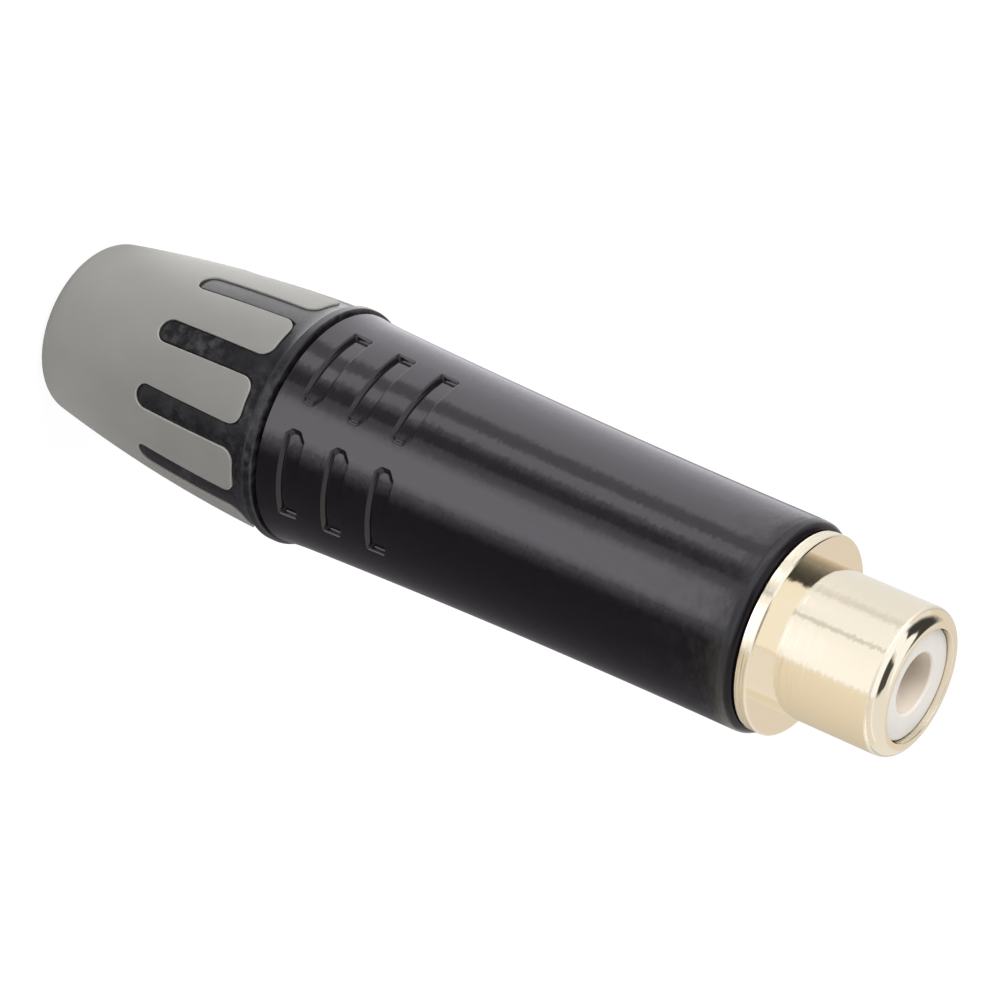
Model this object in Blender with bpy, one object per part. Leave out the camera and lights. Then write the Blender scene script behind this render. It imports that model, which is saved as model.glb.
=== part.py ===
"""In-line RCA (phono) socket, built up from its separate pieces.

Standalone Blender 4.5 script: metres, +Z along the axis towards the mouth, and the origin at the
centre of the rear face, on which the socket stands. Threads are plain cylinders at their major
radius.
"""

import math

import bmesh
import bpy
from mathutils import Matrix, Vector

# Clearances
SEAT_GAP = 0.0001
RUNNING_GAP = 0.0001
JAW_GAP = 0.00015
BOND_GAP = 0.00005
NUT_TO_SHELL_GAP = 0.0002

# Socket body, the gold-plated turned brass piece
BARREL_RADIUS = 0.00415
BARREL_LENGTH = 0.0070
BARREL_EDGE_ROUND = 0.0008
BARREL_ROOT_ROUND = 0.0001
BARREL_BORE_RADIUS = 0.00317
FLANGE_RADIUS = 0.0056
FLANGE_THICKNESS = 0.00075
EDGE_CHAMFER = 0.0001
INSULATOR_SEAT_DEPTH = 0.00315
NECK_STEP = 0.00055
NECK_LENGTH = 0.0014
RIM_WALL = 0.0003
RIM_LIP_WIDTH = 0.0003
RIM_LIP_THICKNESS = 0.0004
TAG_SEAT_WIDTH = 0.00025

# Front insulator and the hole for the plug's pin
INSULATOR_RECESS = 0.00035
PIN_HOLE_RADIUS = 0.0017
PIN_HOLE_CHAMFER = 0.00015
PIN_HOLE_LENGTH = 0.0019
INSULATOR_COLLAR_LENGTH = 0.0012

# Centre contact
CONTACT_BORE_RADIUS = 0.0016
CONTACT_WALL = 0.00045
CONTACT_BORE_DEPTH = 0.0075
CONTACT_SLIT_WIDTH = 0.0004
CONTACT_SLIT_DEPTH = 0.0065
CONTACT_COLLAR_STEP = 0.00065
CONTACT_COLLAR_LENGTH = 0.0009
CUP_RADIUS = 0.00125
CUP_WALL = 0.0004
CUP_LENGTH = 0.0054
CUP_OPEN_LENGTH = 0.0030

# Rear insulator and earth tag
REAR_INSULATOR_THICKNESS = 0.0010
TAG_THICKNESS = 0.0004
TAG_RING_WIDTH = 0.00085
TONGUE_WIDTH = 0.0028
TONGUE_LENGTH = 0.0110
TONGUE_BEND_RADIUS = 0.0003
TONGUE_HOLE_RADIUS = 0.0006

# Shell
SHELL_LENGTH = 0.03035
SHELL_REAR_STEP = 0.0003
SHELL_FRONT_RADIUS = 0.00596
SHELL_FRONT_WALL = 0.00116
SHELL_RIM_FLARE = 0.0001
SHELL_RIM_LENGTH = 0.0018
SHELL_EDGE_HEIGHT = 0.0008
SHELL_EDGE_DEPTH = 0.0004
SHELL_SPIGOT_LENGTH = 0.0061
SHELL_SPIGOT_WALL = 0.0011
GUIDE_LENGTH = 0.0093
KEYWAY_WIDTH = 0.0015
KEYWAY_DEPTH = 0.0005

# Grooves moulded in the shell: two opposite slides, each with two groups of three
SLIDES = 2
SLIDE_CENTRE_ANGLE = math.radians(-89.4)
GROOVES_IN_GROUP = 3
GROOVE_FIRST = 0.00192
GROOVE_PITCH = 0.00295
GROOVE_WIDTH = 0.00138
GROOVE_NEAR_ANGLE = math.radians(6.25)
GROOVE_FAR_ANGLE = math.radians(53.75)
GROOVE_NEAR_DEPTH = 0.0002
GROOVE_FAR_DEPTH = 0.00036
GROOVE_NEAR_ROUND = 0.0006
GROOVE_FAR_ROUND = 0.00025

# Grip nut, outside
NUT_LENGTH = 0.0171
NUT_LIP_RADIUS = 0.00695
NUT_LIP_FLARE = 0.00017
NUT_REAR_RADIUS = 0.00497
NUT_BULGE = 0.000316
NUT_REAR_ROUND = 0.0010
NUT_BAND_WIDTH = 0.0015
NUT_LIP_WIDTH = 0.0005
PADS = 10
PAD_THICKNESS = 0.0006
PAD_FRONT_ROUND = 0.00075
BAR_LENGTH = 0.0074
BAR_WIDTH = 0.00145
BAR_RECESS = 0.0002
BAR_FIRST_ANGLE = math.radians(-66.6)

# Grip nut, inside
GRIP_REAR_WALL = 0.0010
NUT_REAR_WALL = 0.0013
NUT_THREAD_WALL = 0.000425
THREAD_RELIEF = 0.0006
CONE_FRONT_STEP = 0.0002
CABLE_HOLE_MARGIN = 0.00005

# Cable chuck
CHUCK_WALL = 0.00085
CHUCK_GUIDE_ENGAGED = 0.0078
JAW_TIP_WALL = 0.00045
JAWS = 6
JAW_SLIT_WIDTH = 0.0008
JAW_ROOT = 0.0015
SHOULDER_STEP = 0.0003
TEETH = 3
TOOTH_HEIGHT = 0.0002
TOOTH_PITCH = 0.0012
FIRST_TOOTH = 0.0009

# Facets round the axis
NUT_FACETS = 40
SHELL_FACETS = 48
SOCKET_FACETS = 36
INNER_FACETS = 32
CONTACT_FACETS = 24
SHARP_ANGLE = math.radians(30)

# Shared planes, as heights above the rear face
PAD_FRONT = NUT_LENGTH - NUT_BAND_WIDTH
BAR_REAR = PAD_FRONT - BAR_LENGTH
CONE_REAR = GRIP_REAR_WALL + NUT_REAR_WALL
SHELL_REAR = NUT_LENGTH + NUT_TO_SHELL_GAP
SPIGOT_REAR = SHELL_REAR - SHELL_SPIGOT_LENGTH
THREAD_REAR = SPIGOT_REAR - THREAD_RELIEF
GUIDE_FRONT = SPIGOT_REAR + GUIDE_LENGTH
SHELL_FRONT = SHELL_REAR + SHELL_LENGTH
FLANGE_REAR = SHELL_FRONT + SEAT_GAP
FLANGE_FRONT = FLANGE_REAR + FLANGE_THICKNESS
MOUTH = FLANGE_FRONT + BARREL_LENGTH

# The stack in the socket body, from the insulator's seat back to the rolled rim
INSULATOR_SEAT = FLANGE_REAR - INSULATOR_SEAT_DEPTH
INSULATOR_FRONT = MOUTH - INSULATOR_RECESS
INSULATOR_REAR = INSULATOR_SEAT - SEAT_GAP - INSULATOR_COLLAR_LENGTH
CONTACT_COLLAR_FRONT = INSULATOR_REAR - SEAT_GAP
CONTACT_COLLAR_REAR = CONTACT_COLLAR_FRONT - CONTACT_COLLAR_LENGTH
WASHER_FRONT = CONTACT_COLLAR_REAR - SEAT_GAP
WASHER_REAR = WASHER_FRONT - REAR_INSULATOR_THICKNESS
TAG_FRONT = WASHER_REAR - SEAT_GAP
TAG_REAR = TAG_FRONT - TAG_THICKNESS
RIM_GROOVE_REAR = TAG_REAR - SEAT_GAP
SOCKET_REAR = RIM_GROOVE_REAR - RIM_LIP_THICKNESS

# Outside radii that follow the nut's lip, the widest place
NUT_FRONT_RADIUS = NUT_LIP_RADIUS - NUT_LIP_FLARE
SHELL_REAR_RADIUS = NUT_LIP_RADIUS - SHELL_REAR_STEP


def nut_radius(height):
    """Outer radius of the grip nut: a shallow bulge between its rear and its front."""
    share = height / PAD_FRONT
    straight = NUT_REAR_RADIUS + (NUT_FRONT_RADIUS - NUT_REAR_RADIUS) * share
    return straight + 4 * NUT_BULGE * share * (1 - share)


def shell_radius(height):
    """Outer radius of the shell: widest at the nut, straight at the front, with a slight rim flare."""
    share = (SHELL_FRONT - height) / SHELL_LENGTH
    body = SHELL_FRONT_RADIUS + (SHELL_REAR_RADIUS - SHELL_FRONT_RADIUS) * share**2
    rim = max(0.0, 1 - (height - SHELL_REAR) / SHELL_RIM_LENGTH)
    return body + SHELL_RIM_FLARE * rim**2


# Shared radii: the rear end from the nut's outside in, the front end from the shell's outside in
NUT_THREAD_RADIUS = nut_radius(THREAD_REAR) - PAD_THICKNESS - BOND_GAP - NUT_THREAD_WALL
SHELL_SPIGOT_RADIUS = NUT_THREAD_RADIUS - RUNNING_GAP
GUIDE_BORE_RADIUS = SHELL_SPIGOT_RADIUS - SHELL_SPIGOT_WALL
CHUCK_BORE_RADIUS = GUIDE_BORE_RADIUS - RUNNING_GAP - CHUCK_WALL
CABLE_HOLE_RADIUS = CHUCK_BORE_RADIUS + CABLE_HOLE_MARGIN
CONE_REAR_RADIUS = CHUCK_BORE_RADIUS + JAW_TIP_WALL + JAW_GAP
CONE_FRONT_RADIUS = NUT_THREAD_RADIUS - CONE_FRONT_STEP
CHAMBER_RADIUS = SHELL_FRONT_RADIUS - SHELL_FRONT_WALL
SOCKET_THREAD_RADIUS = CHAMBER_RADIUS - RUNNING_GAP
NECK_RADIUS = SOCKET_THREAD_RADIUS - NECK_STEP
RIM_BORE_RADIUS = NECK_RADIUS - RIM_WALL
WASHER_BORE_RADIUS = RIM_BORE_RADIUS - TAG_SEAT_WIDTH
CONTACT_RADIUS = CONTACT_BORE_RADIUS + CONTACT_WALL
TAG_RADIUS = RIM_BORE_RADIUS - SEAT_GAP
TAG_HOLE_RADIUS = TAG_RADIUS - TAG_RING_WIDTH


def spaced(low, high, count):
    """Evenly spaced values from low to high, both included."""
    return [low + (high - low) * k / count for k in range(count + 1)]


def sweep(centre, radius, start, end, steps):
    """Points of an arc in the outline's plane, with its angles in degrees."""
    turns = [math.radians(angle) for angle in spaced(start, end, steps)]
    return [(centre[0] + radius * math.cos(a), centre[1] + radius * math.sin(a)) for a in turns]


def new_object(name, mesh):
    """Makes the bmesh an object of the scene, with its faces pointing out."""
    bmesh.ops.remove_doubles(mesh, verts=mesh.verts, dist=1e-8)
    bmesh.ops.recalc_face_normals(mesh, faces=mesh.faces)
    data = bpy.data.meshes.new(name)
    mesh.to_mesh(data)
    mesh.free()
    data.shade_smooth()
    data.set_sharp_from_angle(angle=SHARP_ANGLE)
    made = bpy.data.objects.new(name, data)
    bpy.context.scene.collection.objects.link(made)
    return made


def turned(name, outline, facets):
    """A body of revolution about Z from (radius, height) points: a ring, or a solid if it starts on the axis."""
    mesh = bmesh.new()
    corners = [mesh.verts.new((radius, 0, height)) for radius, height in outline]
    edges = [mesh.edges.new(pair) for pair in zip(corners, corners[1:])]
    if outline[0][0] > 0:
        edges.append(mesh.edges.new((corners[-1], corners[0])))
    bmesh.ops.spin(
        mesh,
        geom=corners + edges,
        axis=(0, 0, 1),
        cent=(0, 0, 0),
        angle=math.tau,
        steps=facets,
        use_merge=True,
    )
    return new_object(name, mesh)


def add_prism(mesh, outline, depth, place):
    """Adds a closed prism: the outline in the XY plane, raised along Z by depth, then moved by place."""
    face = mesh.faces.new([mesh.verts.new((x, y, 0)) for x, y in outline])
    raised = bmesh.ops.extrude_face_region(mesh, geom=[face])["geom"]
    top = [item for item in raised if isinstance(item, bmesh.types.BMVert)]
    bmesh.ops.translate(mesh, verts=top, vec=(0, 0, depth))
    bmesh.ops.transform(mesh, matrix=place, verts=list(face.verts) + top)


def add_box(mesh, low, high, turn=0.0):
    """Adds a box between two corners, turned about Z."""
    size = [b - a for a, b in zip(low, high)]
    middle = [(a + b) / 2 for a, b in zip(low, high)]
    place = Matrix.Translation(middle) @ Matrix.Diagonal((*size, 1))
    bmesh.ops.create_cube(mesh, size=1, matrix=Matrix.Rotation(turn, 4, "Z") @ place)


def combine(made, other, operation):
    """Cuts or joins with another object, which is then only a helper and not a piece of the socket."""
    other.hide_render = True
    other.display_type = "WIRE"
    step = made.modifiers.new(other.name, "BOOLEAN")
    step.operation = operation
    step.solver = "EXACT"
    step.object = other


def material(made, name, colour, roughness, metallic=0.0):
    finish = bpy.data.materials.new(name)
    finish.use_nodes = True
    shader = finish.node_tree.nodes["Principled BSDF"]
    shader.inputs["Base Color"].default_value = (*colour, 1)
    shader.inputs["Roughness"].default_value = roughness
    shader.inputs["Metallic"].default_value = metallic
    made.data.materials.append(finish)


def socket_body():
    """Barrel and flange, a thread that screws into the shell, and a neck with its rim rolled over the tag."""
    edge = min(BARREL_EDGE_ROUND, 0.85 * (BARREL_RADIUS - BARREL_BORE_RADIUS))
    root = min(BARREL_ROOT_ROUND, 0.5 * (FLANGE_RADIUS - BARREL_RADIUS))
    neck_front = SOCKET_REAR + NECK_LENGTH
    outline = [
        (RIM_BORE_RADIUS - RIM_LIP_WIDTH, SOCKET_REAR),
        (NECK_RADIUS - EDGE_CHAMFER, SOCKET_REAR),
        (NECK_RADIUS, SOCKET_REAR + EDGE_CHAMFER),
        (NECK_RADIUS, neck_front),
        (SOCKET_THREAD_RADIUS, neck_front),
        (SOCKET_THREAD_RADIUS, FLANGE_REAR),
        (FLANGE_RADIUS, FLANGE_REAR),
        (FLANGE_RADIUS, FLANGE_FRONT - EDGE_CHAMFER),
        (FLANGE_RADIUS - EDGE_CHAMFER, FLANGE_FRONT),
        *sweep((BARREL_RADIUS + root, FLANGE_FRONT + root), root, 270, 180, 2),
        *sweep((BARREL_RADIUS - edge, MOUTH - edge), edge, 0, 90, 5),
        (BARREL_BORE_RADIUS, MOUTH),
        (BARREL_BORE_RADIUS, INSULATOR_SEAT),
        (WASHER_BORE_RADIUS, INSULATOR_SEAT),
        (WASHER_BORE_RADIUS, WASHER_REAR),
        (RIM_BORE_RADIUS, WASHER_REAR),
        (RIM_BORE_RADIUS, RIM_GROOVE_REAR),
        (RIM_BORE_RADIUS - RIM_LIP_WIDTH, RIM_GROOVE_REAR),
    ]
    made = turned("socket_body", outline, SOCKET_FACETS)
    material(made, "Gold plated brass", (0.80, 0.66, 0.42), 0.18, 1.0)


def front_insulator():
    """Bush in the barrel: pin hole at the front, room for the contact behind it, a collar at the rear."""
    contact_hole = CONTACT_RADIUS + SEAT_GAP
    collar = WASHER_BORE_RADIUS - SEAT_GAP
    outer = BARREL_BORE_RADIUS - SEAT_GAP
    outline = [
        (contact_hole, INSULATOR_REAR),
        (collar, INSULATOR_REAR),
        (collar, INSULATOR_SEAT - SEAT_GAP),
        (outer, INSULATOR_SEAT - SEAT_GAP),
        (outer, INSULATOR_FRONT - EDGE_CHAMFER),
        (outer - EDGE_CHAMFER, INSULATOR_FRONT),
        (PIN_HOLE_RADIUS + PIN_HOLE_CHAMFER, INSULATOR_FRONT),
        (PIN_HOLE_RADIUS, INSULATOR_FRONT - PIN_HOLE_CHAMFER),
        (PIN_HOLE_RADIUS, INSULATOR_FRONT - PIN_HOLE_LENGTH),
        (contact_hole, INSULATOR_FRONT - PIN_HOLE_LENGTH),
    ]
    made = turned("front_insulator", outline, INNER_FACETS)
    material(made, "White acetal", (0.82, 0.82, 0.79), 0.45)


def centre_contact():
    """Spring tube with four tines, a collar that the washer holds, and a solder cup open on one side."""
    front = INSULATOR_FRONT - PIN_HOLE_LENGTH - SEAT_GAP
    collar = CONTACT_RADIUS + CONTACT_COLLAR_STEP
    tail = CONTACT_COLLAR_REAR - CUP_LENGTH
    cup_bore = CUP_RADIUS - CUP_WALL
    outline = [
        (0, tail + CUP_OPEN_LENGTH),
        (cup_bore, tail + CUP_OPEN_LENGTH),
        (cup_bore, tail),
        (CUP_RADIUS, tail),
        (CUP_RADIUS, CONTACT_COLLAR_REAR),
        (collar, CONTACT_COLLAR_REAR),
        (collar, CONTACT_COLLAR_FRONT),
        (CONTACT_RADIUS, CONTACT_COLLAR_FRONT),
        (CONTACT_RADIUS, front - EDGE_CHAMFER),
        (CONTACT_RADIUS - EDGE_CHAMFER, front),
        (CONTACT_BORE_RADIUS, front),
        (CONTACT_BORE_RADIUS, front - CONTACT_BORE_DEPTH),
        (0, front - CONTACT_BORE_DEPTH),
    ]
    made = turned("centre_contact", outline, CONTACT_FACETS)
    reach = 2 * CONTACT_RADIUS
    half = CONTACT_SLIT_WIDTH / 2
    for turn in (0, math.pi / 2):
        mesh = bmesh.new()
        low = (-reach, -half, front - CONTACT_SLIT_DEPTH)
        add_box(mesh, low, (reach, half, front + CONTACT_SLIT_WIDTH), turn)
        combine(made, new_object("contact_slit", mesh), "DIFFERENCE")
    mesh = bmesh.new()
    add_box(mesh, (-reach, -reach, tail - CUP_RADIUS), (reach, 0, tail + CUP_OPEN_LENGTH / 2))
    combine(made, new_object("cup_opening", mesh), "DIFFERENCE")
    material(made, "Gold plated bronze", (0.80, 0.66, 0.42), 0.25, 1.0)


def rear_insulator():
    hole = CUP_RADIUS + SEAT_GAP
    outer = WASHER_BORE_RADIUS - SEAT_GAP
    outline = [(hole, WASHER_REAR), (outer, WASHER_REAR), (outer, WASHER_FRONT), (hole, WASHER_FRONT)]
    made = turned("rear_insulator", outline, INNER_FACETS)
    material(made, "Brown laminate", (0.30, 0.17, 0.09), 0.6)


def earth_tag():
    """Ring with a tongue bent back from its inner edge, all of one sheet."""
    outline = [
        (TAG_HOLE_RADIUS, TAG_REAR),
        (TAG_RADIUS, TAG_REAR),
        (TAG_RADIUS, TAG_FRONT),
        (TAG_HOLE_RADIUS, TAG_FRONT),
    ]
    made = turned("earth_tag", outline, INNER_FACETS)

    # Side view of the tongue: distance from the axis along X, height along Y
    bend_centre = (TAG_HOLE_RADIUS, TAG_REAR - TONGUE_BEND_RADIUS)
    tongue_outside = TAG_HOLE_RADIUS - TONGUE_BEND_RADIUS
    tongue_inside = tongue_outside - TAG_THICKNESS
    tongue_end = TAG_FRONT - TONGUE_LENGTH
    root = TAG_HOLE_RADIUS + TAG_RING_WIDTH / 2
    flush = BOND_GAP / 2
    side = [
        (tongue_inside, tongue_end),
        (tongue_outside, tongue_end),
        *sweep(bend_centre, TONGUE_BEND_RADIUS + flush, 180, 90, 3),
        (root, TAG_REAR + flush),
        (root, TAG_FRONT - flush),
        *sweep(bend_centre, TONGUE_BEND_RADIUS + TAG_THICKNESS - flush, 90, 180, 4),
    ]
    mesh = bmesh.new()
    stand = Matrix(((0, 0, 1, -TONGUE_WIDTH / 2), (1, 0, 0, 0), (0, 1, 0, 0), (0, 0, 0, 1)))
    add_prism(mesh, side, TONGUE_WIDTH, stand)
    combine(made, new_object("tongue", mesh), "UNION")

    mesh = bmesh.new()
    place = Matrix.Translation((0, tongue_outside, tongue_end + TONGUE_WIDTH / 2))
    bmesh.ops.create_cone(
        mesh,
        cap_ends=True,
        segments=12,
        radius1=TONGUE_HOLE_RADIUS,
        radius2=TONGUE_HOLE_RADIUS,
        depth=4 * TAG_THICKNESS,
        matrix=place @ Matrix.Rotation(math.pi / 2, 4, "X"),
    )
    combine(made, new_object("tongue_hole", mesh), "DIFFERENCE")
    material(made, "Tinned brass", (0.72, 0.70, 0.64), 0.35, 1.0)


def insulating_sleeve():
    """Tube pushed over the socket body's neck, between the solder joints and the shell."""
    inner = NECK_RADIUS + SEAT_GAP
    outer = CHAMBER_RADIUS - RUNNING_GAP
    rear = GUIDE_FRONT + SEAT_GAP
    front = SOCKET_REAR + NECK_LENGTH - SEAT_GAP
    outline = [(inner, rear), (outer, rear), (outer, front), (inner, front)]
    made = turned("insulating_sleeve", outline, INNER_FACETS)
    material(made, "Clear plastic", (0.75, 0.76, 0.76), 0.3)


def groove_outline(radius, side):
    """Section of one groove across the axis. Its floor runs deeper away from the slide's centre."""
    angles = spaced(GROOVE_NEAR_ANGLE, GROOVE_FAR_ANGLE, 6)
    depths = spaced(GROOVE_NEAR_DEPTH, GROOVE_FAR_DEPTH, 6)
    ways = [Vector((math.cos(angle), side * math.sin(angle))) for angle in angles]
    floor = [way * (radius - depth) for way, depth in zip(ways, depths)]
    outside = [way * (radius + GROOVE_FAR_DEPTH) for way in ways]
    return floor + outside[::-1]


def runs_out_at(edge, angle):
    """Whether an edge runs straight out from the axis at this angle."""
    turns = [math.atan2(vert.co.y, vert.co.x) for vert in edge.verts]
    level = abs(edge.verts[0].co.z - edge.verts[1].co.z) < 1e-7
    return level and all(abs(turn - angle) < 1e-4 for turn in turns)


def groove_mesh(middle, side):
    """One groove's cutter, with its near end rounded well and its far end slightly, seen from outside."""
    mesh = bmesh.new()
    base = Matrix.Translation((0, 0, middle - GROOVE_WIDTH / 2))
    add_prism(mesh, groove_outline(shell_radius(middle), side), GROOVE_WIDTH, base)
    bmesh.ops.recalc_face_normals(mesh, faces=mesh.faces)
    ends = (
        (GROOVE_NEAR_ANGLE, min(GROOVE_NEAR_ROUND, 0.46 * GROOVE_WIDTH), 3),
        (GROOVE_FAR_ANGLE, min(GROOVE_FAR_ROUND, 0.46 * GROOVE_WIDTH), 2),
    )
    for angle, rounding, segments in ends:
        bmesh.ops.bevel(
            mesh,
            geom=[edge for edge in mesh.edges if runs_out_at(edge, side * angle)],
            offset=rounding,
            segments=segments,
            profile=0.5,
            affect="EDGES",
            material=-1,
        )
    return mesh


def groove_cutter():
    """All the shell's grooves as one cutter of separate bodies."""
    gathered = bmesh.new()
    for slide in range(SLIDES):
        turn = Matrix.Rotation(SLIDE_CENTRE_ANGLE + slide * math.tau / SLIDES, 3, "Z")
        for side in (-1, 1):
            for step in range(GROOVES_IN_GROUP):
                single = groove_mesh(SHELL_REAR + GROOVE_FIRST + step * GROOVE_PITCH, side)
                bmesh.ops.rotate(single, verts=single.verts, cent=(0, 0, 0), matrix=turn)
                carried = bpy.data.meshes.new("groove")
                single.to_mesh(carried)
                single.free()
                gathered.from_mesh(carried)
                bpy.data.meshes.remove(carried)
    return new_object("groove_cutter", gathered)


def shell():
    """Housing: a threaded spigot for the nut at the rear, grooves outside, keyways and a long bore inside."""
    side_top = SHELL_FRONT - SHELL_EDGE_HEIGHT
    rim_top = SHELL_REAR + SHELL_RIM_LENGTH
    side = spaced(SHELL_REAR, rim_top, 3) + spaced(rim_top, side_top, 6)[1:]
    front_edge = [
        (
            shell_radius(side_top) - SHELL_EDGE_DEPTH * (1 - math.cos(angle)),
            side_top + SHELL_EDGE_HEIGHT * math.sin(angle),
        )
        for angle in spaced(0, math.pi / 2, 4)
    ]
    outline = [
        (GUIDE_BORE_RADIUS, SPIGOT_REAR),
        (SHELL_SPIGOT_RADIUS - EDGE_CHAMFER, SPIGOT_REAR),
        (SHELL_SPIGOT_RADIUS, SPIGOT_REAR + EDGE_CHAMFER),
        (SHELL_SPIGOT_RADIUS, SHELL_REAR),
        *[(shell_radius(height), height) for height in side],
        *front_edge[1:],
        (CHAMBER_RADIUS, SHELL_FRONT),
        (CHAMBER_RADIUS, GUIDE_FRONT),
        (GUIDE_BORE_RADIUS, GUIDE_FRONT),
    ]
    made = turned("shell", outline, SHELL_FACETS)
    combine(made, groove_cutter(), "DIFFERENCE")
    mesh = bmesh.new()
    reach = GUIDE_BORE_RADIUS + KEYWAY_DEPTH
    half = KEYWAY_WIDTH / 2
    low = (-reach, -half, SPIGOT_REAR - KEYWAY_WIDTH)
    add_box(mesh, low, (reach, half, GUIDE_FRONT + KEYWAY_WIDTH))
    combine(made, new_object("keyway_cutter", mesh), "DIFFERENCE")
    material(made, "Black lacquered zinc", (0.013, 0.012, 0.014), 0.22)


def bar_outline(grow):
    """Front view of the space round one bar: distance across it along X, height along Y."""
    half = BAR_WIDTH / 2
    corner = (half + PAD_FRONT_ROUND, PAD_FRONT - PAD_FRONT_ROUND)
    right = [
        *sweep((0, BAR_REAR + half), half - grow, -90, 0, 4),
        *sweep(corner, PAD_FRONT_ROUND + grow, 180, 90, 4),
        (corner[0], PAD_FRONT + PAD_FRONT_ROUND),
    ]
    left = [(-x, y) for x, y in right[:0:-1]]
    return right + left


def bar_cutter(name, grow):
    """Prisms that run out from the axis and clear the soft grip away from the core's bars."""
    mesh = bmesh.new()
    inner = NUT_REAR_RADIUS - 2 * PAD_THICKNESS
    outer = NUT_LIP_RADIUS + 2 * PAD_THICKNESS
    stand = Matrix(((0, 0, 1, inner), (1, 0, 0, 0), (0, 1, 0, 0), (0, 0, 0, 1)))
    for k in range(PADS):
        turn = Matrix.Rotation(BAR_FIRST_ANGLE + k * math.tau / PADS, 4, "Z")
        add_prism(mesh, bar_outline(grow), outer - inner, turn @ stand)
    return new_object(name, mesh)


def nut_side(low, high, inset, count):
    """Points up the nut's side, set in from its outer surface."""
    return [(nut_radius(height) - inset, height) for height in spaced(low, high, count)]


def grip_shape(name, grow, outside):
    """The soft grip. Grown all round by a little, and outside by more, it is the pocket it lies in."""
    lean = math.atan((nut_radius(NUT_REAR_ROUND) - nut_radius(0)) / NUT_REAR_ROUND)
    corner_top = NUT_REAR_ROUND * (1 - math.sin(lean))
    centre = (nut_radius(corner_top) - NUT_REAR_ROUND * math.cos(lean), NUT_REAR_ROUND)
    inset = PAD_THICKNESS + grow
    floor_rear = GRIP_REAR_WALL + grow
    corner = PAD_THICKNESS
    top = PAD_FRONT + grow
    outline = [
        (CABLE_HOLE_RADIUS - outside, -outside),
        *sweep(centre, NUT_REAR_ROUND + outside, 270, 360 - math.degrees(lean), 4),
        *nut_side(corner_top, top, -outside, 6)[1:],
        *nut_side(floor_rear + corner, top, inset, 4)[::-1],
        (nut_radius(floor_rear) - inset - corner, floor_rear),
        (CABLE_HOLE_RADIUS - outside, floor_rear),
    ]
    made = turned(name, outline, NUT_FACETS)
    combine(made, bar_cutter(name + "_bars", grow), "DIFFERENCE")
    return made


def nut_grip():
    material(grip_shape("nut_grip", 0, 0), "Grey soft elastomer", (0.27, 0.27, 0.245), 0.62)


def nut_core():
    """Hard half of the grip nut: bars and a flared lip outside, the cone and the thread's bore inside."""
    blank_rear = GRIP_REAR_WALL / 2
    lip_rear = NUT_LENGTH - NUT_LIP_WIDTH
    band_radius = nut_radius(PAD_FRONT) - BAR_RECESS
    flare = [
        (
            band_radius + (NUT_LIP_RADIUS - band_radius) * (1 - math.cos(angle)),
            PAD_FRONT + (lip_rear - PAD_FRONT) * math.sin(angle),
        )
        for angle in spaced(0, math.pi / 2, 4)
    ]
    outline = [
        (CABLE_HOLE_RADIUS, blank_rear),
        (nut_radius(blank_rear) - PAD_THICKNESS, blank_rear),
        *nut_side(GRIP_REAR_WALL + PAD_THICKNESS, PAD_FRONT, BAR_RECESS, 6)[:-1],
        *flare,
        (NUT_LIP_RADIUS, NUT_LENGTH - EDGE_CHAMFER),
        (NUT_LIP_RADIUS - EDGE_CHAMFER, NUT_LENGTH),
        (NUT_THREAD_RADIUS, NUT_LENGTH),
        (NUT_THREAD_RADIUS, THREAD_REAR),
        (CONE_FRONT_RADIUS, THREAD_REAR),
        (CONE_REAR_RADIUS, CONE_REAR),
        (CABLE_HOLE_RADIUS, CONE_REAR),
    ]
    made = turned("nut_core", outline, NUT_FACETS)
    combine(made, grip_shape("grip_pocket", BOND_GAP, 4 * BAR_RECESS), "DIFFERENCE")
    material(made, "Black nylon", (0.022, 0.020, 0.022), 0.45)


def tooth_points(rear):
    """Saw teeth in the chuck's bore, from the rear up: steep towards the rear, sloping to the front."""
    points = []
    for k in range(TEETH):
        foot = rear + FIRST_TOOTH + k * TOOTH_PITCH
        points.append((CHUCK_BORE_RADIUS, foot))
        points.append((CHUCK_BORE_RADIUS - TOOTH_HEIGHT, foot + TOOTH_HEIGHT))
        points.append((CHUCK_BORE_RADIUS, foot + TOOTH_PITCH / 2))
    return points


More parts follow.
